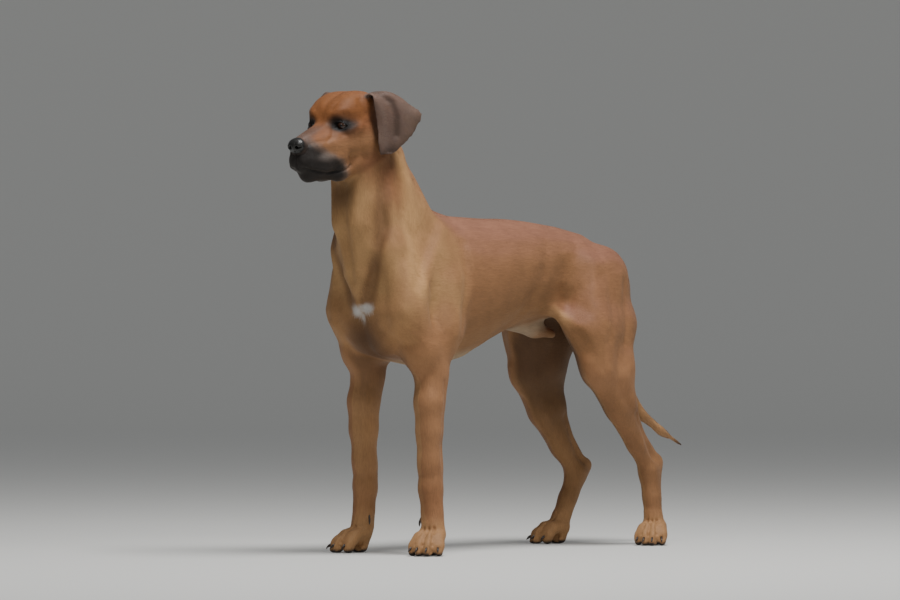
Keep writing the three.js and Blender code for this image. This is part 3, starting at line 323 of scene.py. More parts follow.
ear_trees = []
for name in ("left", "right"):
    ear = frame["nodes"][f"ear_{name}"]
    corners = [ear.matrix_world @ v.co for v in ear.data.vertices]
    ear_trees.append(BVHTree.FromPolygons(corners, [tuple(f.vertices) for f in ear.data.polygons]))


def near_ears(points):
    """1 on the flaps of the ears, 0 beyond their roots."""
    away = np.zeros(len(points))
    h = in_head(points)
    flaps = (np.abs(h[:, 1]) > 45) & (h[:, 0] < -45) & (h[:, 2] > -100) & (h[:, 2] < 60)
    for i in np.nonzero(flaps)[0]:
        place = Vector(points[i] / MM + origin)
        away[i] = min(tree.find_nearest(place)[3] for tree in ear_trees) * MM
    return flaps * np.maximum(1 - ramp(2.5, 7, away), ramp(96, 104, np.abs(h[:, 1])))


points = points_of(skin)
y, z = points.T[1:]
head = near_head(points)
slim = np.maximum(1 - ramp(330, 420, z), ramp(600, 640, y))
h = in_head(points)
mouth = head * (1 - ramp(-62, -52, h[:, 2])) * (1 - ramp(-60, -40, -h[:, 0]))
ears = near_ears(points)
strength = 0.5 - 0.36 * head - 0.25 * slim * (1 - head)
strength = strength + (0.45 - strength) * np.maximum(mouth, ears)
points = relax(skin, points, strength, 12)
put_points(skin, points)

# The rounding draws the surface in a little. It goes back out to the coat's depth below the solids, in three
# rounds that even the limbs out as they go.
COAT_DEPTH = 1.3  # short hair, lying flat
MOST_OUT, MOST_IN = 9, 4  # millimetres that one round may move the surface
TAIL_TIP_SHIFT = (-0.4, 11.5, -5.2)


def above_flesh(piece, tree):
    """How far each point of the piece lies outside the solid flesh, in millimetres."""
    away = np.empty(len(piece.data.vertices))
    for i, vertex in enumerate(piece.data.vertices):
        place, normal, _, distance = tree.find_nearest(vertex.co)
        away[i] = math.copysign(distance * MM, (vertex.co - place).dot(normal))
    return away


tree = BVHTree.FromPolygons(flesh_points, flesh_faces)
wanted = COAT_DEPTH * (1 - 0.6 * np.maximum(head, ears) - 0.6 * slim * (1 - head))
limbs = slim * (1 - head) * ramp(50, 90, z)
for evening, rounding in ((18, 8), (30, 26), (110, 0)):
    away = above_flesh(skin, tree)
    even = relax(skin, away[:, None], np.full(len(away), 0.5), evening)[:, 0]
    points = points - normals_of(skin) * np.clip(even + wanted, -MOST_OUT, MOST_IN)[:, None]
    points = relax(skin, points, 0.5 * np.maximum(ears * (rounding < 10), limbs), rounding)
    put_points(skin, points)
points = points + ramp(796, 838, points[:, 1])[:, None] * TAIL_TIP_SHIFT
put_points(skin, points)

# The head and the paws get a finer mesh, and the eyes and the nose a finer one still, for what is modelled
# there.
PAW_HEIGHT = 70
EYE_REACH = 21
NOSE_REACH = 24
NOSE_TIP = np.array([102, 0, -16])  # in the head's measure


def refine(piece, wanted):
    """Halves the mesh's edges at the points that are wanted."""
    corners = read(piece.data.loops, "vertex_index", 1, np.int32).ravel()
    starts = read(piece.data.polygons, "loop_start", 1, np.int32).ravel()
    chosen = np.logical_or.reduceat(wanted[corners], starts)
    bpy.context.view_layer.objects.active = piece
    bpy.ops.object.mode_set(mode="EDIT")
    bpy.ops.mesh.select_mode(type="FACE")
    bpy.ops.mesh.select_all(action="DESELECT")
    bpy.ops.object.mode_set(mode="OBJECT")
    piece.data.polygons.foreach_set("select", chosen)
    bpy.ops.object.mode_set(mode="EDIT")
    bpy.ops.mesh.subdivide(number_cuts=1)
    bpy.ops.object.mode_set(mode="OBJECT")
    return points_of(piece)


eye_centres = {side: in_body(place) for side, place in eye_places.items()}


def near_eyes_or_nose(points, reach_share=1.0):
    """True around the eyes and the tip of the nose."""
    close = np.linalg.norm(in_head(points) - NOSE_TIP, axis=1) < NOSE_REACH * reach_share
    for centre in eye_centres.values():
        close |= np.linalg.norm(points - centre, axis=1) < EYE_REACH * reach_share
    return close


head = near_head(points)
points = refine(skin, (head > 0.4) | (points[:, 2] < PAW_HEIGHT))
points = refine(skin, near_eyes_or_nose(points))
points = refine(skin, near_eyes_or_nose(points, 0.68))


def settle(rounds=2, strength=0.35):
    """Puts the points back into the skin, smoothed in this many rounds, and takes its normals anew."""
    global points, normals
    points = relax(skin, points, np.full(len(points), strength), rounds)
    put_points(skin, points)
    normals = normals_of(skin)


settle(2, 0.3)


def stroke(line, radius, height, facing, both=True, on_head=False, depth=60):
    """Raises the surface along a line, as a thumb would from one side. A negative height sinks it."""
    line = np.array(line, float)
    for side in (1, -1) if both else (1,):
        mirror = np.array([1, side, 1] if on_head else [side, 1, 1])
        route, look = line * mirror, np.array(facing, float) * mirror
        if on_head:
            route, look = from_head(route), look @ HEAD_AXES
        look /= np.linalg.norm(look)
        flat = route - np.outer(route @ look, look)
        middle = flat.mean(0)
        reach = np.linalg.norm(flat - middle, axis=1).max() + 2.6 * radius
        at_depth = points @ look
        level = points - np.outer(at_depth, look) - middle
        near = np.nonzero(((level ** 2).sum(1) < reach ** 2) & (normals @ look > 0)
                          & (np.abs(at_depth - (route @ look).mean()) < depth + np.ptp(route @ look)))[0]
        if len(near) == 0:
            continue
        level = level[near] + middle
        best = np.full(len(near), 1e9)
        off = np.zeros(len(near))
        for a, b, deep_a, deep_b in zip(flat[:-1], flat[1:], route[:-1] @ look, route[1:] @ look):
            t = np.clip((level - a) @ (b - a) / ((b - a) @ (b - a)), 0, 1)
            distance = np.linalg.norm(level - a - t[:, None] * (b - a), axis=1)
            closer = distance < best
            best[closer] = distance[closer]
            off[closer] = np.abs(at_depth[near] - deep_a - t * (deep_b - deep_a))[closer]
        share = np.exp(-(best / radius) ** 2) * ramp(0.0, 0.4, normals[near] @ look)
        share *= 1 - ramp(0.6 * depth, depth, off)
        points[near] += normals[near] * (height * share)[:, None]


def dent(place, radius, height, facing, **how):
    """Raises a round swelling, or with a negative height sinks a hollow."""
    stroke([place, np.add(place, (0, 0, 0.01))], radius, height, facing, **how)


# Shoulders and ribs: the ridge of the shoulder blade, the triceps with the groove behind it, the ribs under
# the skin, and the edge of the rib cage at the flank.
OUT, FRONT, BACK = (1, 0, 0), (0, -1, 0), (0, 1, 0)
FRONT_OUT = (0.7, -0.7, 0)
stroke([(80, 62, 640), (90, 22, 585), (98, -16, 525)], 9, 2.2, OUT)
stroke([(80, 40, 655), (90, -6, 590), (98, -44, 525)], 11, -2.8, (0.9, -0.4, 0.1))
stroke([(95, 112, 612), (100, 106, 545), (98, 92, 480), (92, 76, 420)], 12, -4.6, OUT)
stroke([(95, 70, 590), (100, 66, 520), (98, 50, 450), (92, 34, 395)], 20, 2.4, OUT)
stroke([(98, 4, 530), (102, 16, 480), (98, 26, 430)], 7, -2.4, OUT)
stroke([(60, -88, 560), (66, -86, 500), (64, -84, 450)], 10, -3.0, (0.4, -1, 0))
stroke([(98, -24, 540), (104, -26, 480), (100, -14, 425)], 14, 1.8, (0.9, -0.5, 0))
for n in range(8):
    top, low = 128 + 27 * n, 142 + 25 * n
    stroke([(90, top, 600 - 3 * n), (104, top + 12, 540), (102, low + 12, 470 + 4 * n)], 7, 0.8, OUT)
stroke([(80, 356, 606), (95, 338, 540), (85, 290, 470), (60, 230, 432)], 16, -3.0, (0.95, 0, -0.2))
dent((75, 405, 560), 34, -3.0, OUT)
stroke([(30, 120, 665), (30, 300, 664), (30, 440, 654)], 14, 1.6, (0.4, 0, 1))
stroke([(0, 80, 672), (0, 300, 668), (0, 520, 640)], 6, -1.4, (0, 0, 1), both=False)
settle()

# Chest and neck: the breastbone's groove, the muscles that run from the jaw and the nape to it, the furrow of
# the jugular vein between them, and the loose skin of the throat.
stroke([(0, -82, 470), (0, -62, 430), (0, -20, 398), (0, 40, 382)], 9, -3.4, (0, -1, -0.35), both=False)
dent((0, -96, 492), 13, 2.6, FRONT, both=False)
stroke([(38, -104, 770), (26, -118, 690), (14, -112, 600), (5, -100, 520)], 10, 3.0, (0.25, -1, 0))
stroke([(6, -132, 760), (4, -130, 690), (2, -118, 620), (0, -104, 540)], 7, -3.0, FRONT, both=False)
FURROW = [(67, -70, 788), (67, -90, 735), (66, -95, 690), (66, -93, 640), (49, -88, 588), (35, -90, 545),
          (22, -92, 500)]
stroke(FURROW, 10, -3.2, (0.8, -1, 0))
stroke(FURROW, 9, -2.2, (0.8, -1, 0), both=False)
stroke([(48, -114, 740), (44, -116, 680), (40, -108, 610), (26, -100, 550)], 10, 1.8, (0.5, -1, 0))
stroke([(72, -42, 785), (80, -44, 700), (86, -42, 640), (96, -50, 560), (94, -60, 490)], 15, 3.2,
       (0.8, -0.5, 0))
stroke([(64, 4, 775), (74, 2, 700), (88, 14, 640)], 10, -2.0, OUT)
stroke([(58, 30, 755), (66, 44, 695), (72, 62, 652)], 14, 1.5, (0.8, 0.3, 0.3))
for beside, top, low in ((12, 780, 726), (20, 774, 742), (-7, 776, 716), (-16, 778, 742)):
    stroke([(beside + 4, -132, top), (beside * 0.7, -134, low)], 4, 2.2, (0.15 * np.sign(beside), -1, -0.3),
           both=False)
stroke([(90, -70, 500), (104, -54, 478), (106, -34, 462)], 4, -1.4, FRONT_OUT)
stroke([(84, -76, 470), (98, -62, 446), (106, -40, 440)], 5, -1.6, FRONT_OUT)
stroke([(52, -86, 440), (78, -70, 414), (96, -40, 410)], 8, -2.4, (0.4, -1, 0))
stroke([(34, -92, 500), (52, -90, 470), (60, -84, 430)], 12, 1.8, (0.3, -1, 0))
settle()

# Hind quarters: the point of the hip, the muscles of the thigh with the grooves between them, the kneecap
# with its ligament, the fold of the flank, and the strong tendon above each heel.
dent((72, 474, 622), 15, 3.0, (0.7, 0, 0.7))
dent((60, 596, 560), 20, 2.0, (0.5, 0.8, 0.2))
stroke([(70, 500, 600), (100, 510, 540), (108, 508, 470), (108, 488, 420)], 12, -2.2, OUT)
stroke([(90, 470, 520), (104, 470, 450), (108, 466, 400)], 22, 2.0, (0.9, -0.4, 0))
stroke([(88, 560, 540), (106, 556, 470), (104, 548, 410), (98, 540, 370)], 9, -2.4, (1, 0.3, 0))
stroke([(70, 606, 540), (84, 606, 470), (84, 590, 410)], 15, 2.4, (0.4, 1, 0))
stroke([(56, 392, 486), (80, 424, 462), (94, 452, 430), (100, 464, 400)], 8, 2.2, (1, -0.2, 0))
stroke([(64, 410, 520), (84, 440, 490), (98, 468, 450)], 13, -2.6, OUT)
for side, stifle, hock, heel in ((1, (99, 488, 364), (85, 662, 152), (83, 692, 172)),
                                 (-1, (98, 488, 352), (82, 624, 146), (80, 653, 162))):
    at = lambda place, dx, dy, dz: np.multiply(np.add(place, (dx, dy, dz)), (side, 1, 1))
    shank = lambda share, dx, dy, dz: at(np.add(stifle, share * np.subtract(hock, stifle)), dx, dy, dz)
    side_out, side_front = (side, 0, 0), (0.6 * side, -1, 0)
    dent(at(stifle, 6, -30, 14), 12, 2.6, side_front, both=False)
    stroke([at(stifle, 4, -32, -4), shank(0.14, 2, -28, -10)], 6, 1.6, side_front, both=False)
    stroke([at(stifle, 22, -18, 6), shank(0.12, 18, -14, 0)], 6, -1.4, side_out, both=False)
    stroke([shank(0.1, 20, 34, 6), shank(0.3, 20, 30, 10), shank(0.45, 16, 24, 10)], 16, 2.4, side_out,
           both=False)
    stroke([shank(0.16, 26, 8, 0), shank(0.45, 18, 8, 4)], 7, -1.6, side_out, both=False)
    for face in (1, -1):
        stroke([shank(0.5, 14 * face, 18, 14), shank(0.72, 10 * face, 16, 12), shank(0.92, 8 * face, 14, 10)],
               7, -3.4, (side * face, 0.25, 0), both=False)
        dent(at(hock, 20 * face, -6, 4), 8, 1.8, (side * face, 0, 0), both=False)
    stroke([shank(0.5, 18, 30, 16), shank(0.66, 18, 12, 6), shank(0.84, 12, -8, -4)], 2.6, 1.3, side_out,
           both=False)
    stroke([at(heel, 0, 14, 8), at(heel, 0, 10, -16)], 8, 1.6, (0, 1, 0), both=False)
    for shift in (-7, 0, 7):
        stroke([at(hock, shift, -20, -26), at(hock, shift * 1.4 + 4, -20, -80)], 2.6, -1.0,
               (0.2 * side, -1, 0), both=False)
settle()

# Front legs: the muscles of the forearm, its tendons and the vein on its inner side, the knobs of the wrist,
# and the four bones of the pastern.
stroke([(110, 24, 340), (112, 24, 290), (108, 24, 230), (106, 24, 180)], 6, -2.2, OUT)
stroke([(104, -6, 340), (106, -6, 290), (102, -4, 240)], 11, 1.6, (0.8, -0.6, 0))
stroke([(84, -14, 340), (86, -12, 270), (92, -8, 190)], 5, -1.2, (-0.3, -1, 0))
stroke([(76, 0, 330), (76, -4, 260), (84, -8, 190)], 2.6, 1.2, (-0.8, -0.6, 0))
stroke([(88, 46, 330), (90, 42, 250), (92, 40, 160)], 6, 1.4, BACK)
for face in (1, -1):
    dent((92 + 18 * face, 8, 144), 8, 1.6, (face, -0.2, 0))
    stroke([(92 + 12 * face, 24, 220), (92 + 12 * face, 26, 160)], 5, -1.6, (face, 0.6, 0))
dent((92, -10, 138), 12, 1.6, FRONT)
stroke([(76, -8, 120), (92, -12, 117), (108, -8, 120)], 3, -0.9, FRONT)
stroke([(76, -8, 152), (92, -12, 156), (108, -8, 152)], 4, -0.8, FRONT)
for shift in (-7, 0, 7):
    stroke([(94 + shift * 0.8, -14, 108), (98 + shift, -16, 70)], 2.6, -0.9, (0.2, -1, 0.1))
settle()

# Paws: four arched toes with deep clefts between them, the tendons over the knuckles, and the pads below.
PAWS = [  # the place on the floor below the knuckles, the turn outwards, the breadth, the knuckles' height
    ((101, 7), 25, 1, 50), ((-94, 6), -24, 1, 50), ((93, 670), 30, 0.9, 46), ((-88, 580), -24, 0.9, 45),
]
TOE_TIPS = ((40, -27), (56, -9.5), (56, 9.5), (40, 27))
TOE_ROOTS = ((4, -15), (10, -6), (10, 6), (4, 15))
for floor_place, turn, breadth, high in PAWS:
    t = math.radians(turn)
    ahead, across = np.array([math.sin(t), -math.cos(t), 0]), np.array([math.cos(t), math.sin(t), 0])
    at = lambda f, o, u: np.array([*floor_place, 0]) + ahead * f + across * o * breadth + np.array([0, 0, u])
    for n in range(3):
        tip = np.add(TOE_TIPS[n], TOE_TIPS[n + 1]) / 2
        root = np.add(TOE_ROOTS[n], TOE_ROOTS[n + 1]) / 2
        stroke([at(root[0] + 6, root[1], high - 2), at(root[0] + 24, (root[1] + tip[1]) / 2, 34),
                at(tip[0] - 4, tip[1], 16)], 3.0, -3.4, ahead * 0.7 + (0, 0, 0.7), both=False)
        stroke([at(tip[0] - 6, tip[1], 24), at(tip[0] - 4, tip[1], 4)], 2.6, -3.0, ahead, both=False)
    for tip, root in zip(TOE_TIPS, TOE_ROOTS):
        dent(at(root[0] * 0.4 + tip[0] * 0.6 - 4, root[1] * 0.4 + tip[1] * 0.6, 42), 7, 1.6,
             ahead * 0.5 + (0, 0, 1), both=False)
        dent(at(tip[0] - 6, tip[1], 28), 6, 0.9, ahead * 0.7 + (0, 0, 0.7), both=False)
        stroke([at(root[0] - 6, root[1], high + 20), at(root[0] + 4, root[1], high + 2)], 2.6, 0.8,
               ahead + (0, 0, 0.3), both=False)
settle(1, 0.2)

# Skull: broad and flat between the ears, with the furrow of the forehead and its faint wrinkles, the brows,
# the cheekbones and the chewing muscles.


def on_head(line, radius, height, facing, both=True, depth=26):
    """A stroke in the head's measure, or a swelling or hollow where the line is one place."""
    work = stroke if isinstance(line, list) else dent
    work(line, radius, height, facing, both=both, on_head=True, depth=depth)


on_head([(12, 0, 10), (-14, 0, 36), (-60, 0, 50)], 7, -2.0, (0.6, 0, 1), False)
on_head((18, 0, 0), 12, -2.2, (0.6, 0, 1), False)
on_head([(6, 18, 24), (-6, 29, 27), (-24, 40, 20)], 7, 2.2, (0.5, 0.4, 0.8))
on_head([(4, 25, 13), (-6, 37, 11), (-16, 44, 4)], 4, -1.2, (0.6, 0.8, 0.2))
on_head([(-2, 21, 34), (-14, 22, 42), (-28, 26, 47)], 3.0, -0.6, (0.7, 0.1, 0.7))
on_head((5, 13, 10), 9, 2.0, (0.8, 0.3, 0.4))
on_head((2, 24, 30), 15, -3.0, (0.6, 0.6, 0.5))
h = in_head(points)
between_brows = 1 - ramp(12, 26, np.linalg.norm((h - (2, 0, 16)) * (1, 0.75, 1), axis=1))
points = relax(skin, points, 0.5 * between_brows, 24)
on_head([(10, 20, -4), (24, 19, -16), (40, 19, -24)], 4.0, -1.6, (0.3, 1, 0.2))
on_head([(4, 36, -17), (-12, 44, -19), (-26, 46, -14)], 4.5, -1.6, (0.4, 1, 0))
on_head([(-10, 48, -14), (-36, 56, -8), (-60, 54, 0)], 8, 2.0, (0.2, 1, 0))
on_head((-58, 58, -42), 22, 3.0, (0, 1, 0))
on_head([(-32, 52, -28), (-30, 50, -50), (-42, 48, -74)], 7, -2.4, (0.2, 1, 0))
on_head((-50, 44, 26), 18, -1.6, (0, 1, 0.5))

# Muzzle: the straight bridge, the upper lips that hang over the lower ones, the line of the mouth, the groove
# below the nose, the chin, and the rows of small swellings that whiskers grow from.
on_head([(84, 13, -18), (56, 17, -20), (26, 20, -20)], 5, -1.6, (0.1, 1, 0.2))
on_head([(90, 9, -6), (50, 12, -2), (22, 14, 2)], 6, 1.0, (0, 0.5, 1))
on_head([(88, 15, -44), (66, 24, -52), (40, 30, -58), (12, 33, -62)], 12, 2.6, (0.2, 1, 0))
LIP_LINE = [(101, 4, -57), (92, 14, -64), (74, 21, -73), (50, 26, -80), (24, 30, -83), (2, 33, -81),
            (-8, 35, -76)]
on_head(LIP_LINE, 2.4, -3.2, (0.25, 1, -0.35))
on_head([(94, 10, -57), (76, 22, -66), (50, 28, -73), (24, 32, -76), (4, 35, -75)], 5, 2.0, (0.25, 1, -0.2))
on_head([(-6, 38, -60), (-12, 40, -70), (-10, 38, -82)], 4, -1.4, (0.2, 1, 0))
on_head((97, 0, -63), 10, 3.0, (1, 0, -0.5), False)
on_head([(110, 0, -27), (109, 0, -38), (106, 0, -50), (100, 0, -60)], 1.5, -1.8, (1, 0, -0.2), False)
on_head([(104, 5, -42), (98, 11, -52)], 6, 1.2, (1, 0.4, 0))
on_head((88, 0, -82), 12, 1.8, (0.5, 0, -1), False)
for row in range(3):
    for n in range(5):
        on_head((84 - 11 * n, 22, -38 - 8 * row - 2 * n), 1.6, 0.5, (0.2, 1, 0))
settle(1, 0.25)

# Ears: thin flaps of skin and gristle that fold at the root and hang down, with the rear half swung out. A
# crease runs down each one from the fold.
EAR_OUT = (0.48, 0.88, 0.15)
EAR_DEPTH = 45
EAR_FOLD = [(-92, 58, 47), (-104, 88, 22), (-104, 94, -8), (-98, 92, -40)]
on_head(EAR_FOLD, 7, -3.8, EAR_OUT, depth=EAR_DEPTH)
on_head([(-112, 64, 44), (-126, 98, 18), (-130, 108, -10), (-120, 106, -44)], 12, 2.2, EAR_OUT,
        depth=EAR_DEPTH)
on_head([(-74, 62, 46), (-78, 76, 18), (-78, 80, -20), (-72, 78, -60)], 9, 1.8, EAR_OUT, depth=EAR_DEPTH)
on_head([(-56, 50, 40), (-60, 54, 20), (-62, 56, -6)], 6, -2.4, (0.8, 0.6, 0.2))
settle(1, 0.2)
EAR_CORNER = np.array((-150, 119, -12))  # the rear corner of a flap, drawn out to a blunt point
CORNER_REACH = 34
h = in_head(points)
for side in (1, -1):
    away = np.linalg.norm(h * (1, side, 1) - EAR_CORNER, axis=1)
    points = points + (1 - ramp(2, CORNER_REACH, away))[:, None] * (-7.5, 6.5 * side, 1.5) @ HEAD_AXES
settle(0)

# Eyelids: an almond opening around each eyeball, its edge lying on the ball, with a fold above the upper lid
# and a crease below the lower one. The opening slants a little down towards the ear.
GAZE = math.radians(24)  # how far each eye looks outwards
BALL = 11.0  # the eyeball's radius
LID_REACH = 19
LID_THICKNESS = 1.1


def gaze_of(side):
    """The way an eye looks, in the body's measure."""
    gaze = np.array([math.cos(GAZE), side * math.sin(GAZE), 0.04]) @ HEAD_AXES
    return gaze / np.linalg.norm(gaze)


for side, centre in eye_centres.items():
    gaze = gaze_of(side)
    outward = np.array([-math.sin(GAZE), side * math.cos(GAZE), 0]) @ HEAD_AXES
    over = np.cross(gaze, outward) * side
    close = np.nonzero(np.linalg.norm(points - centre, axis=1) < LID_REACH)[0]
    away = points[close] - centre
    reach = np.linalg.norm(away, axis=1)
    way = away / reach[:, None]
    ahead = way @ gaze
    across_eye = np.degrees(np.arctan2(way @ outward, ahead))
    up_eye = np.degrees(np.arcsin(np.clip(way @ over, -1, 1))) + 0.15 * across_eye
    width = np.where(across_eye < 0, 66, 60)
    arch = np.clip(1 - (across_eye / width) ** 2, 0, 1)
    upper, lower = 37 * arch ** 0.72, -29 * arch ** 0.8
    beyond = np.maximum(up_eye - upper, lower - up_eye)
    beyond = np.maximum(beyond, np.abs(across_eye) - width)
    opened = (1 - ramp(-1.5, 1.5, beyond)) * (ahead > 0.1)
    lid = ramp(-1.0, 3.0, beyond) * (1 - ramp(22, 36, beyond)) * (ahead > 0.1)
    fold = np.exp(-((up_eye - upper - 15) / 4.0) ** 2) * (up_eye > 0) * (1 - ramp(34, 50, np.abs(across_eye)))
    bag = np.exp(-((lower - 11 - up_eye) / 4.0) ** 2) * (up_eye < 0) * (1 - ramp(30, 46, np.abs(across_eye)))
    wanted = np.maximum(reach, BALL + LID_THICKNESS) * lid + reach * (1 - lid)
    wanted = wanted * (1 - opened) + (BALL - 2 * LID_THICKNESS) * opened  # the opening lies inside the ball
    wanted = wanted - 1.3 * fold - 0.7 * bag
    points[close] = centre + way * wanted[:, None]
settle(0)

# Nose: a broad leathery pad with comma-shaped nostrils, set off from the hair by a shallow rim. It is shaped
# in the hide here, and gets its leather further on.
ring = [(92, 8, 0), (88, 15, -8), (88, 17, -18), (92, 15, -28), (99, 8, -34), (103, 0, -35)]
on_head(ring, 2.4, -1.3, (0.5, 0.8, 0.2))
on_head([(108, 10, -12), (105, 14, -17), (104, 12, -23)], 3.2, 1.2, (1, 0.4, 0))
on_head([(114, 0, -10), (112, 0, -20)], 4, 0.8, (1, 0, 0), False)
settle(1, 0.2)
NOSTRIL = 3.1  # the round part's radius
for side in (1, -1):
    h = in_head(points)
    across_nose, up_nose = side * h[:, 1] - 7.2, h[:, 2] + 17.5
    round_hole = np.sqrt(across_nose ** 2 + (up_nose * 0.9) ** 2) / NOSTRIL
    slit = np.sqrt(((across_nose - 5) / 4.6) ** 2 + ((up_nose + 2.4 - 0.25 * across_nose) / 1.5) ** 2)
    inside = (1 - ramp(0.7, 1.15, round_hole)) + 0.6 * (1 - ramp(0.6, 1.1, slit))
    inside = np.clip(inside, 0, 1) * ramp(92, 98, h[:, 0]) * (side * h[:, 1] > 1)
    push = np.stack([-8.5 * inside, -1.5 * side * inside, 1.0 * inside], 1)
    points = points + push @ HEAD_AXES
settle(0)

# The hide then loses faces where it is nearly flat, and keeps them in the folds, so that it stays light
# enough to handle.
SKIN_TRIANGLES = 190000
triangles = sum(len(f.vertices) - 2 for f in skin.data.polygons)
apply_modifier(skin, "DECIMATE", ratio=SKIN_TRIANGLES / triangles)
select_only(skin)
bpy.ops.object.shade_smooth()

# Markings: red wheaten, deepest on the back, paler on the throat, the belly and the inner legs; a black
# muzzle, black around the eyes, dark ears, a little white on the chest, and black pads. Painted shade darkens
# the neck's furrow, the underside, the throat, the inner tops of the legs and each ear's crease, and a
# painted highlight lies beside the crease.
EYES = {side: in_head(centre) for side, centre in eye_centres.items()}
LIP_BREADTH = 4.5
WAVES = 9  # that cross each other at random
FULL_TURN = 6.3  # radians, nearly


def spot(points, place, radii, edge=0.35):
    """1 inside a soft-edged ellipsoid, 0 outside it."""
    apart = np.sqrt((((points - np.array(place, float)) / np.array(radii, float)) ** 2).sum(1))
    return 1 - ramp(1 - edge, 1 + edge, apart)


def near_line(points, line, radius, edge=0.5):
    """1 along a line, 0 past its radius."""
    line = np.array(line, float)
    best = np.full(len(points), 1e9)
    for a, b in zip(line[:-1], line[1:]):
        t = np.clip((points - a) @ (b - a) / ((b - a) @ (b - a)), 0, 1)
        best = np.minimum(best, np.linalg.norm(points - a - t[:, None] * (b - a), axis=1))
    return 1 - ramp(radius * (1 - edge), radius * (1 + edge), best)


def wander(points, size, seed):
    """A soft wandering about 0, mostly between -1 and 1, over about this many millimetres."""
    draw = np.random.default_rng(seed)
    total = np.zeros(len(points))
    for _ in range(WAVES):
        way = draw.normal(size=3)
        wave = points @ (way / np.linalg.norm(way)) * (FULL_TURN / size * draw.uniform(0.6, 1.6))
        total += np.sin(wave + draw.uniform(0, FULL_TURN))
    return total / (WAVES / 2)


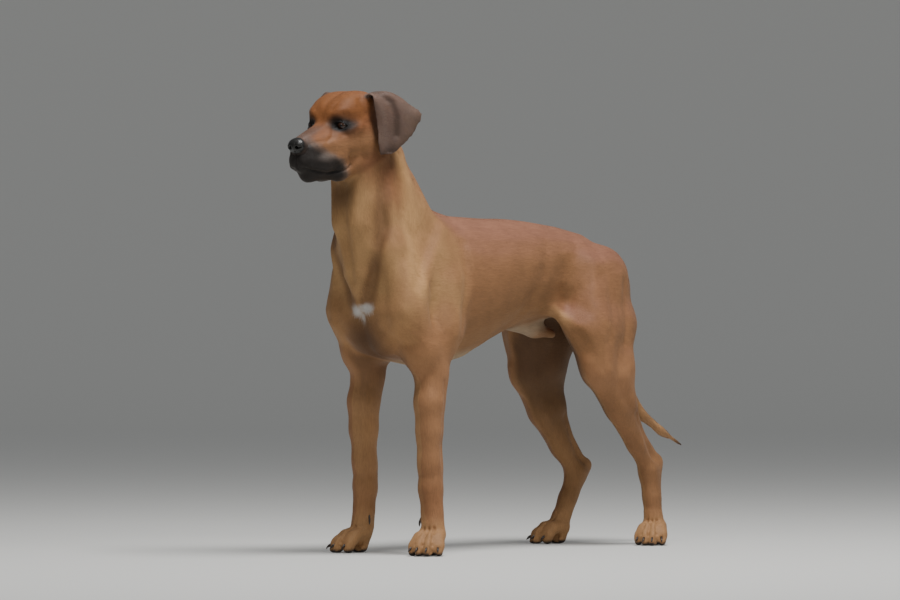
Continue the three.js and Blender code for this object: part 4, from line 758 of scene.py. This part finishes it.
def markings_and_painted_light(points, normals):
    """The coat's colour at each point, with painted shade and a painted highlight laid in, and how far the
    skin is bare there.
    """
    x, y, z = points.T
    h = in_head(points)
    f, l, u = h[:, 0], np.abs(h[:, 1]), h[:, 2]  # forwards, sideways and up
    half_head, half_body, profile = np.c_[f, l, u], np.c_[np.abs(x), y, z], h * (1, 0, 1)
    head, ears = near_head(points), near_ears(points)
    up = normals[:, 2]
    wandering = wander(points, 60, 3)
    fine = wander(points, 16, 5)
    colour = np.tile(linear("#8d6443"), (len(points), 1))

    def lay(code, share):
        """Lays a colour over the ones before it."""
        share = np.clip(share, 0, 1)[:, None]
        colour[:] = colour * (1 - share) + np.array(linear(code)) * share

    # The back, the underside, the chest, and the neck with a pale band down its side and painted shade in its
    # furrow.
    trunk = ramp(330, 430, z)
    lay("#845a46", trunk * ramp(-0.1, 0.75, up) * ramp(80, 150, y + 0.6 * (z - 600)))
    lay("#a47b50", trunk * (1 - ramp(-0.7, 0.1, up)) * 0.7)
    lay("#a88358", (1 - ramp(60, 130, y)) * ramp(420, 520, z) * (1 - head) * (1 - ramp(-0.2, 0.7, up))
        * (0.72 + 0.2 * wandering))
    neck_band = near_line(half_body, [(68, -30, 765), (78, -32, 690), (92, -26, 620), (102, -40, 530)], 28)
    lay("#bb9060", neck_band * 0.65)
    # Painted shade along the furrow of the neck.
    lay("#5a3c28", near_line(half_body, FURROW, 17) * 0.6)
    # The legs, paler inside and on the feet, and the black pad behind each wrist.
    lay("#986d4b", (1 - ramp(330, 420, z)) * 0.8)
    lay("#ae875c", (1 - ramp(300, 400, z)) * (normals[:, 0] * np.sign(x) < 0) * 0.5)
    lay("#9f7850", (1 - ramp(50, 80, z)) * 0.6)
    lay("#7a4e30", (1 - ramp(90, 230, z)) * ramp(60, 100, z) * (1 - ramp(110, 200, y)) * 0.45)
    lay("#241d1b", spot(half_body, (92, 51, 110), (11, 9, 10), 0.4) * 0.9)
    # The pale belly, sheath and flank folds, and painted shade on the brisket, the side of the neck, the
    # throat, the lower flanks, between the forelegs and on the inner tops of the legs.
    lay("#b59e79", spot(points, (0, 200, 380), (70, 190, 30)) * (1 - ramp(-0.8, -0.1, up)) * 0.7)
    lay("#bfae94", near_line(points, [(0, 330, 440), (0, 372, 442), (0, 410, 460)], 24) * 0.8)
    # Painted shade under the chest, between the front legs.
    lay("#7a5538", spot(points, (0, -10, 420), (75, 60, 60), 0.6) * 0.4)
    # Painted shade on the side of the neck, below the cheek.
    lay("#7c4f33", spot(half_body, (70, -62, 726), (24, 26, 50), 0.6) * 0.6)
    # Painted shade on the throat under the jaw.
    lay("#4c3725", spot(h, (6, 0, -132), (52, 40, 38), 0.6) * 0.65)
    lay("#b78f62", near_line(half_body, [(62, 392, 478), (84, 440, 446), (100, 474, 402)], 13, 0.6) * 0.6)
    # Painted shade on the lower flanks, where they face down.
    lay("#6a4a30", trunk * (1 - ramp(-0.4, 0.3, up)) * ramp(60, 140, y) * (1 - ramp(430, 500, y)) * 0.45)
    # Painted shade on the chest between the forelegs.
    lay("#3c281a", spot(points, (0, -66, 408), (46, 60, 60), 0.7) * 0.75)
    # Painted shade on the inner tops of the hind and front legs, where the body shades them.
    inner = 1 - ramp(-0.5, 0.1, normals[:, 0] * np.sign(x))
    lay("#3a291c", inner * ramp(400, 440, y) * ramp(190, 320, z) * (1 - ramp(470, 520, z)) * 0.7)
    lay("#4a3423", inner * (1 - ramp(90, 150, y)) * ramp(250, 350, z) * (1 - ramp(400, 450, z)) * 0.5)
    hind_leg = (1 - ramp(280, 350, z)) * ramp(60, 90, z) * ramp(380, 420, y) * (1 - ramp(700, 740, y))
    lay("#644629", hind_leg * 0.4)
    # A darker line down the spine, and a paler tail with a dark tip.
    lay("#805034", near_line(points, [(0, 84, 680), (0, 300, 672), (0, 470, 655), (0, 580, 620)], 20) * 0.5)
    lay("#a98259", ramp(680, 720, y) * (1 - ramp(300, 400, z)) * 0.6)
    lay("#3f2b20", ramp(812, 846, y) * 0.85)

    # The head, reddest on the forehead, and the mask: black lips and chin, and a browner bridge.
    lay("#975b35", head * ramp(-40, 0, u) * 0.8)
    lay("#7c5435", head * (1 - ramp(-50, -20, u)) * 0.6)
    lay("#8a5428", head * spot(profile, (-20, 0, 30), (50, 60, 34)) * 0.7)
    # Painted shade on the lower cheek, behind the corner of the mouth.
    lay("#633b24", spot(half_head, (-66, 52, -96), (36, 34, 36), 0.6) * 0.6)
    edge_heights, edge_reaches = (-110, -80, -68, -52, -36, -22, -10), (8, 10, 22, 44, 62, 76, 84)
    mask_edge = np.interp(u, edge_heights, edge_reaches) + 5 * wandering + 3 * fine
    mask = head * ramp(-26, 20, f - mask_edge) * (1 - ears)
    lay("#5e4f46", ramp(0.0, 0.5, mask) * 0.85)
    lay("#191716", ramp(0.3, 1.0, mask) * 0.95)
    bridge = head * (1 - ramp(12, 22, l)) * ramp(-6, 34, f) * ramp(-26, -12, u + 0.12 * (f - 20))
    lay("#5f4a40", bridge * ramp(-6, 60, f) * 0.8)
    lay("#5c5048", head * spot(profile, (56, 0, -48), (20, 30, 8), 0.7) * 0.4)
    # The dark rims of the eyes, drawn out at both corners, and the ears, darkest low down, with painted shade
    # in the crease and a painted highlight beside it.
    for side, eye in EYES.items():
        lay("#6b4730", spot(h, eye + (0, 0, -4), (34, 30, 22), 0.5) * 0.6)
        lay("#1d1612", spot(h, eye + (5, -6 * side, 5), (22, 19, 16), 0.5) * 0.92)
        lay("#1d1612", spot(h, eye + (-5, 8 * side, -3), (22, 18, 12), 0.5) * 0.9)
        lay("#0c0a09", spot(h, eye + (4, 0, 0), (18.5, 18.5, 11.5), 0.3) * 0.97)
    lay("#594840", ears * 0.94 * (1 + 0.05 * fine))
    lay("#3a2b25", ears * (1 - ramp(-78, -50, u)) * 0.5)
    # Painted shade along each ear's crease, and a painted highlight on the ear beside it.
    lay("#33261f", ears * near_line(half_head, EAR_FOLD, 8, 0.8) * 0.55)
    lay("#6a574d", ears * near_line(half_head, np.add(EAR_FOLD, (26, -14, 0)), 12, 0.8) * 0.4)

    # A broken white patch on the chest, and bare black skin on the lips, the pads and the nose.
    white = spot(points, (15, -78, 484), (19, 40, 10), 0.6)
    white = np.maximum(white, spot(points, (-10, -78, 480), (15, 40, 12), 0.6))
    white = np.maximum(white, spot(points, (4, -78, 466), (8, 40, 11), 0.6) * 0.8)
    lay("#b5b0ab", white * ramp(-0.5, 0.5, fine + white))
    lip = head * near_line(half_head, LIP_LINE, LIP_BREADTH)
    lay("#0f0d0d", lip * 0.9)
    pads = (1 - ramp(6, 11, z)) * (1 - ramp(-0.6, 0.3, up))
    lay("#1d1a19", pads)
    nose_reach = np.sqrt(((f - 100) / 14) ** 2 + (l / 19) ** 2 + ((u + 17) / 17) ** 2)
    nose = 1 - ramp(0.8, 1.1, nose_reach)
    bare = np.maximum.reduce([lip, pads, nose])
    lay("#121111", nose)
    colour *= (1 - 0.38 * head * (1 - ears) * ramp(-50, -10, u) * (1 - ramp(60, 90, f)))[:, None]
    colour *= (1 + 0.055 * wandering + 0.045 * fine)[:, None]
    return np.clip(colour, 0.003, 1), np.clip(bare, 0, 1)


def store(piece, name, values):
    """Keeps a value, or a colour, at each point of the piece."""
    layer = piece.data.attributes.new(name, "FLOAT" if values.ndim == 1 else "FLOAT_COLOR", "POINT")
    if values.ndim == 1:
        layer.data.foreach_set("value", values.astype(np.float32))
    else:
        layer.data.foreach_set("color", np.c_[values, np.ones(len(values))].astype(np.float32).ravel())


points = points_of(skin)
normals = normals_of(skin)
colour, bare = markings_and_painted_light(points, normals)
neck = (1 - ramp(30, 120, points[:, 1])) * ramp(560, 640, points[:, 2]) * (1 - near_head(points))
hair_down = np.maximum(1 - ramp(330, 420, points[:, 2]), neck)
store(skin, "coat_colour", colour)
store(skin, "bare", bare)
store(skin, "hair_down", hair_down)


# Short coat: hair of 10 to 20 mm lying flat, from nose to tail and down the neck and the legs, dull with a
# soft sheen. Its lie makes faint light and dark flecks. The strands are bump, about 1 mm wide and 15 mm long:
# real hair is finer, and is drawn as coarse as it needs to show.
def strands(material, width, length, down, seed):
    """Noise drawn out along the hair, in metres: back along the body, or down the neck and the legs."""
    place = add_node(material, "ShaderNodeTexCoord").outputs["Object"]
    scale = (1 / width, 1 / width, 1 / length) if down else (1 / width, 1 / length, 1 / width)
    drawn = add_node(material, "ShaderNodeMapping", [(place, "Vector")], Scale=scale,
                     Location=(seed, seed, seed))
    noise = add_node(material, "ShaderNodeTexNoise", [(drawn.outputs["Vector"], "Vector")], Scale=1.0,
                     Detail=3.0, Roughness=0.62)
    return noise.outputs["Fac"]


def mixed(material, share, first, second):
    """The first value where the share is 0, the second where it is 1."""
    return add_node(material, "ShaderNodeMix", [(share, 0), (first, 2), (second, 3)]).outputs[0]


coat, coat_shader = new_material("short_flat_coat", Roughness=0.6, Specular_IOR_Level=0.22, Sheen_Weight=0.08,
                                 Sheen_Roughness=0.45)
coat_shader.inputs["Sheen Tint"].default_value = (*linear("#e8cdb8"), 1)
kept = {}  # what the hide keeps at each of its points
for name in ("coat_colour", "bare", "hair_down"):
    kept[name] = add_node(coat, "ShaderNodeAttribute", attribute_name=name).outputs
down_share = kept["hair_down"]["Fac"]
body_hair = strands(coat, 0.0012, 0.016, False, 3.1)
leg_hair = strands(coat, 0.0011, 0.013, True, 7.7)
hair = mixed(coat, down_share, body_hair, leg_hair)
body_clumps = strands(coat, 0.004, 0.034, False, 1.3)
leg_clumps = strands(coat, 0.0035, 0.026, True, 5.9)
clumps = mixed(coat, down_share, body_clumps, leg_clumps)
flecks = add_node(coat, "ShaderNodeMapRange", [(hair, "Value")], From_Min=0.32, From_Max=0.68, To_Min=0.87,
                  To_Max=1.11)
patches = add_node(coat, "ShaderNodeMapRange", [(clumps, "Value")], From_Min=0.3, From_Max=0.7, To_Min=0.92,
                   To_Max=1.07)
both = add_node(coat, "ShaderNodeMath", [(flecks.outputs["Result"], 0), (patches.outputs["Result"], 1)],
                operation="MULTIPLY")
flecked = add_node(coat, "ShaderNodeVectorMath",
                   [(kept["coat_colour"]["Color"], 0), (both.outputs[0], "Scale")], operation="SCALE")
coat.node_tree.links.new(flecked.outputs["Vector"], coat_shader.inputs["Base Color"])
GRAINS = 900.0  # to a metre, so the bare skin's grain is about 1 mm across
coat_place = add_node(coat, "ShaderNodeTexCoord").outputs["Object"]
leather_grain = add_node(coat, "ShaderNodeTexVoronoi", [(coat_place, "Vector")], Scale=GRAINS)
relief = add_node(coat, "ShaderNodeMath", [(hair, 0), (clumps, 1)], operation="ADD")
height = mixed(coat, kept["bare"]["Fac"], relief.outputs[0], leather_grain.outputs["Distance"])
bump = add_node(coat, "ShaderNodeBump", [(height, "Height")], Strength=0.55, Distance=0.0009)
coat.node_tree.links.new(bump.outputs["Normal"], coat_shader.inputs["Normal"])
skin.data.materials.append(coat)
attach(skin, "root")
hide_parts(*FLESH)

# Eyes: wet, glossy balls, a little bulged in front, with a dark brown iris and a black pupil. Each lies loose
# in its socket, and the lids lie on it.
PUPIL, IRIS = 3.0, 7.6  # radii in millimetres
BULGE = 1.0
# A wet eye: a soft dark body under a thin film that mirrors the lamps sharply.
eye_material, eye_shader = new_material("wet_eye", Roughness=0.2, Specular_IOR_Level=0.3, Coat_Weight=0.4,
                                         Coat_Roughness=0.03)
eye_colour = add_node(eye_material, "ShaderNodeAttribute", attribute_name="eye_colour")
eye_material.node_tree.links.new(eye_colour.outputs["Color"], eye_shader.inputs["Base Color"])
for name, side in (("left", 1), ("right", -1)):
    centre = eye_centres[side]
    bpy.ops.object.select_all(action="DESELECT")
    bpy.ops.mesh.primitive_uv_sphere_add(segments=48, ring_count=32, radius=BALL / MM, location=(0, 0, 0))
    ball = bpy.context.object
    ball.name = f"eyeball_{name}"
    turn = np.array(Vector(gaze_of(side)).to_track_quat("Z", "Y").to_matrix())
    co = read(ball.data.vertices, "co", 3).astype(float) * MM
    off_axis = np.linalg.norm(co[:, :2], axis=1)
    front = co[:, 2] > 0
    co[:, 2] += np.where(front, BULGE * (1 - ramp(0, IRIS + 1.5, off_axis)), 0)
    put_points(ball, co @ turn.T + centre)
    off_axis = np.where(front, off_axis, 2 * BALL)
    angle = np.arctan2(co[:, 1], co[:, 0])
    ray = 1 + 0.22 * np.sin(angle * 23) + 0.14 * np.sin(angle * 11 + 2)
    brown = np.array(linear("#2e1a0e"))[None] * ray[:, None]
    tint = np.where(off_axis[:, None] < IRIS, brown, np.array(linear("#33271f")))
    tint = tint * (1 - 0.8 * np.exp(-((off_axis - IRIS) / 0.9) ** 2))[:, None]
    tint = np.where(off_axis[:, None] < PUPIL, np.array(linear("#050404")), tint)
    store(ball, "eye_colour", tint)
    ball.data.materials.append(eye_material)
    bpy.ops.object.shade_smooth()
    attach(ball, "root")
    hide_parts(f"eye_{name}")

# Claws: short, black and blunt from wear, one at the tip of each toe and a dewclaw on the inside of each
# wrist. They are the solid claws with their edges rounded off.
HORN_PATCHES = 420.0  # to a metre, so the horn is clouded over some 2 mm
SAME_PLACE = 0.0002  # corners nearer to each other than this are one
# Claw horn: smooth and half glossy, near black with a brown cloud in it.
horn, horn_shader = new_material("claw_horn", Roughness=0.34, Specular_IOR_Level=0.5)


def pattern(material, shader, fac, first, second, strength, distance, invert=False):
    """Colours a material by a pattern, from the first colour to the second, and gives it that relief."""
    colours = add_node(material, "ShaderNodeValToRGB", [(fac, "Fac")])
    for element, code in zip(colours.color_ramp.elements, (first, second)):
        element.color = (*linear(code), 1)
    relief = add_node(material, "ShaderNodeBump", [(fac, "Height")], Strength=strength, Distance=distance,
                      invert=invert)
    material.node_tree.links.new(colours.outputs["Color"], shader.inputs["Base Color"])
    material.node_tree.links.new(relief.outputs["Normal"], shader.inputs["Normal"])


horn_place = add_node(horn, "ShaderNodeTexCoord").outputs["Object"]
clouds = add_node(horn, "ShaderNodeTexNoise", [(horn_place, "Vector")], Scale=HORN_PATCHES, Detail=2.0)
pattern(horn, horn_shader, clouds.outputs["Fac"], "#151210", "#463830", 0.25, 0.0003)
CLAWS = {}
for node in frame["nodes"]:
    if "claw" in node:
        CLAWS.setdefault(node.rsplit("_", 1)[0] if node[-1].isdigit() else node, []).append(node)
for paw, nodes in CLAWS.items():
    claws = copy_of_solids(nodes, f"{paw}_horn")
    bpy.ops.object.mode_set(mode="EDIT")
    bpy.ops.mesh.select_all(action="SELECT")
    bpy.ops.mesh.remove_doubles(threshold=SAME_PLACE)
    bpy.ops.object.mode_set(mode="OBJECT")
    apply_modifier(claws, "SUBSURF", levels=1, render_levels=1)
    bpy.ops.object.shade_smooth()
    claws.data.materials.append(horn)
    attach(claws, "root")
    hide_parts(*nodes)

# Nose pad: a thick black leathery pad over the tip of the muzzle, pebbled and a little moist. It is the hide
# there, lifted off and given a wall.
NOSE_WALL = 0.0011
NOSE_LIFT = 0.3  # millimetres above the hide
RIM_ROUNDS = 12  # that even out the pad's edge
PEBBLES = 950.0  # to a metre, so each is about 1 mm across
select_only(skin)
bpy.ops.object.duplicate()
nose = bpy.context.object
nose.name = "nose_pad"
h = in_head(points)
pad_reach = np.sqrt(((h[:, 0] - 100) / 15) ** 2 + (h[:, 1] / 19) ** 2 + ((h[:, 2] + 16) / 16.5) ** 2)
pad = bmesh.new()
pad.from_mesh(nose.data)
pad.verts.ensure_lookup_table()
bmesh.ops.delete(pad, geom=[v for v in pad.verts if pad_reach[v.index] > 1], context="VERTS")
for _ in range(RIM_ROUNDS):
    beside = {v: [e.other_vert(v).co.copy() for e in v.link_edges if e.is_boundary]
              for v in pad.verts if v.is_boundary}
    for vertex, places in beside.items():
        vertex.co = vertex.co * 0.5 + sum(places, Vector()) / len(places) * 0.5
for vertex in pad.verts:
    vertex.co += vertex.normal * NOSE_LIFT / MM
pad.to_mesh(nose.data)
pad.free()
nose.data.materials.clear()
apply_modifier(nose, "SOLIDIFY", thickness=NOSE_WALL, offset=-1)
# Moist nose leather: near black, with a broken shine on the crowns of its pebbles.
leather, leather_shader = new_material("moist_nose_leather", Roughness=0.36, Specular_IOR_Level=0.45)
leather_place = add_node(leather, "ShaderNodeTexCoord").outputs["Object"]
pebbles = add_node(leather, "ShaderNodeTexVoronoi", [(leather_place, "Vector")], Scale=PEBBLES,
                   feature="SMOOTH_F1")
pattern(leather, leather_shader, pebbles.outputs["Distance"], "#23211f", "#0f0e0e", 0.5, 0.0004, invert=True)
nose.data.materials.append(leather)
bpy.ops.object.shade_smooth()
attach(nose, "root")
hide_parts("nose")

# Coat: thin flat tufts of hair over the hide, overlapping from nose to tail and down the legs, longer where
# the coat breaks the form and smallest on the face and the feet. Each is a solid blade, its root in the hide.
# A light copy of the hide, unwrapped, gives each tuft its place on the coat's map, and goes again.
GUIDE_TRIANGLES = 7000
CROWN = 0.07  # a blade's thickness, as a share of its width
ROOT_DEPTH = 0.3  # millimetres that its root lies below the hide
FLUSH = 0.08  # millimetres that it stands above the hide at the least
# The tufts are painted paler than the hide below them, a painted lightening against the shade on the blades.
TINTS = (1.03, 1.15)  # how much paler than the hide it may be
# A blade has seven corners: the root's left, right and crown, the same of its middle, and the tip.
BLADE = np.array([(0, 1, 4), (0, 4, 3), (1, 2, 5), (1, 5, 4), (2, 0, 3), (2, 3, 5), (3, 4, 6), (4, 5, 6),
                  (5, 3, 6), (0, 2, 1)])
FADE = np.array([0.96, 0.96, 0.96, 1, 1, 1, 1.05])  # the hair is a little paler at the tip
PATCH = 0.003  # a blade's breadth on the map
MAP_PATCH = np.array([(-1, -1), (1, -1), (0, -1), (-1, 0), (1, 0), (0, 0), (0, 1)]) * PATCH / 2
select_only(skin)
bpy.ops.object.duplicate()
guide = bpy.context.object
guide.name = "unwrap_guide"
apply_modifier(guide, "DECIMATE", ratio=GUIDE_TRIANGLES / SKIN_TRIANGLES)
bpy.ops.object.mode_set(mode="EDIT")
bpy.ops.mesh.select_all(action="SELECT")
bpy.ops.uv.smart_project(angle_limit=math.radians(66), island_margin=0.004)
bpy.ops.object.mode_set(mode="OBJECT")
guide.data.calc_loop_triangles()
guide_corners = read(guide.data.loop_triangles, "vertices", 3, np.int32)
guide_loops = read(guide.data.loop_triangles, "loops", 3, np.int32)
guide_uv = read(guide.data.uv_layers.active.data, "uv", 2)[guide_loops]
guide_points = points_of(guide)
guide_tree = BVHTree.FromPolygons(guide_points.tolist(), guide_corners.tolist())
bpy.data.objects.remove(guide)

skin.data.calc_loop_triangles()
skin_corners = read(skin.data.loop_triangles, "vertices", 3, np.int32)
skin_tree = BVHTree.FromPolygons(points.tolist(), skin_corners.tolist())
first, second, third = (points[skin_corners[:, i]] for i in range(3))
skin_areas = np.linalg.norm(np.cross(second - first, third - first), axis=1) / 2
skin_middles = (first + second + third) / 3
skin_faces_look = normals[skin_corners].mean(1)
draw = np.random.default_rng(7)


def lie(points, normals):
    """The way the hair points at each place, along the hide."""
    x, y, z = points.T
    head, ears = near_head(points), near_ears(points)
    flow = np.tile([0.0, 1.0, -0.28], (len(points), 1))

    def turn(share, way):
        """Turns the lie this way, by the share that each place gets."""
        flow[:] = flow * (1 - share[:, None]) + np.asarray(way, float) * share[:, None]

    turn(ramp(0.2, 0.8, -normals[:, 2]) * ramp(330, 430, z), (0, 1, 0))
    turn((1 - ramp(40, 150, y)) * ramp(540, 640, z), (0, 0.45, -0.9))
    outwards_down = np.stack([0.3 * np.sign(x), 0.1 + 0 * x, -1 + 0 * x], 1)
    turn((1 - ramp(-70, 10, y)) * (1 - ramp(540, 640, z)), outwards_down)
    turn(ramp(440, 520, y) * (1 - ramp(560, 620, z)), (0, 0.35, -0.9))
    turn(1 - ramp(330, 420, z), (0, 0.12, -1))
    turn(ramp(640, 680, y) * ramp(240, 300, z), (0, 0.5, -0.8))
    ridge = (1 - ramp(10, 22, np.abs(x))) * ramp(100, 124, y) * (1 - ramp(430, 460, y))
    turn(ridge * ramp(0.5, 0.8, normals[:, 2]), (0, -1, 0))
    backwards = np.stack([-1 + 0 * x, 0.3 * np.sign(in_head(points)[:, 1]), -0.1 + 0 * x], 1) @ HEAD_AXES
    turn(head, backwards)
    turn(ears, np.array([-0.25, 0, -1.0]) @ HEAD_AXES)
    flow -= normals * (flow * normals).sum(1)[:, None]
    return flow / np.maximum(np.linalg.norm(flow, axis=1), 1e-6)[:, None]


def tufts(name, slot, share, count, length, width, lift):
    """A piece of coat: this many blades, spread by the share that each place gets."""
    odds = skin_areas * share
    chosen = draw.choice(len(odds), count, p=odds / odds.sum())
    r, q = np.sqrt(draw.random(count)), draw.random(count)
    weights = np.stack([1 - r, r * (1 - q), r * q], 1)
    roots = (points[skin_corners[chosen]] * weights[:, :, None]).sum(1)
    out = (normals[skin_corners[chosen]] * weights[:, :, None]).sum(1)
    out /= np.linalg.norm(out, axis=1)[:, None]
    along = lie(roots, out)
    across = np.cross(out, along)
    sway = draw.normal(0, 0.09, count)[:, None]
    along = along * np.cos(sway) + across * np.sin(sway)
    across = np.cross(out, along)
    long = length * draw.uniform(0.7, 1.3, count)
    broad = width * draw.uniform(0.7, 1.3, count)
    high = lift * draw.uniform(0.4, 1.6, count)
    spine = [roots - ROOT_DEPTH * out]
    for share_along, rise in ((0.5, 0.5), (1.0, 1.0)):
        aim = roots + along * (long * share_along)[:, None]
        for i in range(count):
            place, normal, _, _ = skin_tree.find_nearest(aim[i])
            aim[i] = place + normal * (FLUSH + high[i] * rise)
        spine.append(aim)
    low, middle, tip = spine
    half = across * broad[:, None] / 2
    crown = out * broad[:, None] * CROWN
    corners = np.stack([low - half * 0.8, low + half * 0.8, low + crown, middle - half, middle + half,
                        middle + crown, tip], 1)
    faces = (BLADE[None] + 7 * np.arange(count)[:, None, None]).reshape(-1, 3)
    mesh = bpy.data.meshes.new(name)
    mesh.vertices.add(count * 7)
    mesh.vertices.foreach_set("co", (corners.reshape(-1, 3) / MM + origin).astype(np.float32).ravel())
    mesh.loops.add(len(faces) * 3)
    mesh.loops.foreach_set("vertex_index", faces.ravel().astype(np.int32))
    mesh.polygons.add(len(faces))
    mesh.polygons.foreach_set("loop_start", np.arange(0, len(faces) * 3, 3, dtype=np.int32))
    mesh.update(calc_edges=True)
    mesh.shade_flat()
    piece = bpy.data.objects.new(name, mesh)
    bpy.context.collection.objects.link(piece)
    tint = markings_and_painted_light(roots, out)[0] * draw.uniform(*TINTS, count)[:, None]
    store(piece, "coat_colour", (tint[:, None, :] * FADE[None, :, None]).reshape(-1, 3))
    at = np.empty((count, 2))
    for i in range(count):
        place, _, face, _ = guide_tree.find_nearest(roots[i])
        a, b, c = guide_points[guide_corners[face]]
        whole = np.cross(b - a, c - a)
        size = whole @ whole
        second = np.cross(np.array(place) - a, c - a) @ whole / size
        third = np.cross(b - a, np.array(place) - a) @ whole / size
        uv_a, uv_b, uv_c = guide_uv[face]
        at[i] = uv_a * (1 - second - third) + uv_b * second + uv_c * third
    uv = (at[:, None, :] + MAP_PATCH[None]).reshape(-1, 2)[faces.ravel()]
    mesh.uv_layers.new(name="OFBake").data.foreach_set("uv", uv.astype(np.float32).ravel())
    mesh.materials.append(hair_material)
    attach(piece, "root")
    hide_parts(*(("ear_left", "ear_right") if slot == "ear_coat" else ("chest",)))


# Hair: dull, with a soft sheen along its lie, each tuft in one tint of the marking below it, painted a little
# paler to offset the shade on and between the blades.
hair_material, hair_shader = new_material("red_wheaten_hair", Roughness=0.6, Specular_IOR_Level=0.22,
                                          Sheen_Weight=0.08, Sheen_Roughness=0.4)
hair_colour = add_node(hair_material, "ShaderNodeAttribute", attribute_name="coat_colour")
hair_material.node_tree.links.new(hair_colour.outputs["Color"], hair_shader.inputs["Base Color"])

x, y, z = skin_middles.T
h = in_head(skin_middles)
head, ears = near_head(skin_middles), near_ears(skin_middles)
look_up = skin_faces_look[:, 2]
bare_there = bare[skin_corners].mean(1)
body = (1 - head) * (1 - ears)
neck = body * (1 - ramp(40, 130, y)) * ramp(560, 620, z)
tail = ramp(625, 650, y) * (1 - ramp(8, 30, np.abs(x) - 18)) * ramp(180, 200, z) * (np.abs(x) < 30)
trunk = body * ramp(330, 430, z) * (1 - neck) * (1 - tail)
legs = body * (1 - ramp(330, 430, z)) * (1 - tail) * ramp(46, 60, z)
thighs = trunk * ramp(440, 500, y) * (1 - ramp(580, 640, z))
trunk = trunk * (1 - thighs)
furred = 1 - bare_there
REGIONS = [  # name, slot, share, how many, length, width, lift; in millimetres
    ("coat_spine", "coat", trunk * ramp(0.55, 0.85, look_up) * (1 - ramp(20, 40, np.abs(x))),
     4500, 14, 0.5, 0.18),
    ("coat_back", "coat", trunk * ramp(0.0, 0.4, look_up), 3800, 13, 0.45, 0.05),
    ("coat_sides", "coat", trunk * (1 - ramp(0.3, 0.6, np.abs(look_up))) * ramp(60, 120, y),
     3800, 12, 0.45, 0.05),
    ("coat_chest", "coat", trunk * (1 - ramp(40, 100, y)), 4200, 13, 0.45, 0.08),
    ("coat_belly", "coat", trunk * ramp(0.4, 0.8, -look_up) * ramp(40, 100, y), 6500, 14, 0.5, 0.25),
    ("coat_neck", "coat", neck, 5500, 13, 0.45, 0.08),
    ("coat_thighs", "coat", thighs * (1 + 3 * ramp(0.2, 0.7, skin_faces_look[:, 1])), 6000, 14, 0.5, 0.15),
    ("coat_front_legs", "coat", legs * (y < 250), 6500, 8, 0.45, 0.12),
    ("coat_hind_legs", "coat", legs * (y >= 250), 7000, 9, 0.45, 0.15),
    ("coat_tail", "coat", body * tail, 3500, 13, 0.6, 0.6),
    ("coat_feet", "coat", body * (1 - ramp(46, 60, z)) * furred, 3500, 5, 0.4, 0.12),
    ("coat_face", "coat", head * (1 - ears) * furred * ramp(-10, 10, h[:, 0]), 4500, 4, 0.35, 0.08),
    ("coat_skull", "coat", head * (1 - ears) * furred * (1 - ramp(-10, 10, h[:, 0])), 7000, 6, 0.4, 0.1),
    ("coat_ears", "ear_coat", ears, 5500, 6, 0.4, 0.1),
]
for name, slot, share, count, length, width, lift in REGIONS:
    tufts(name, slot, share * furred, count, length, width, lift)
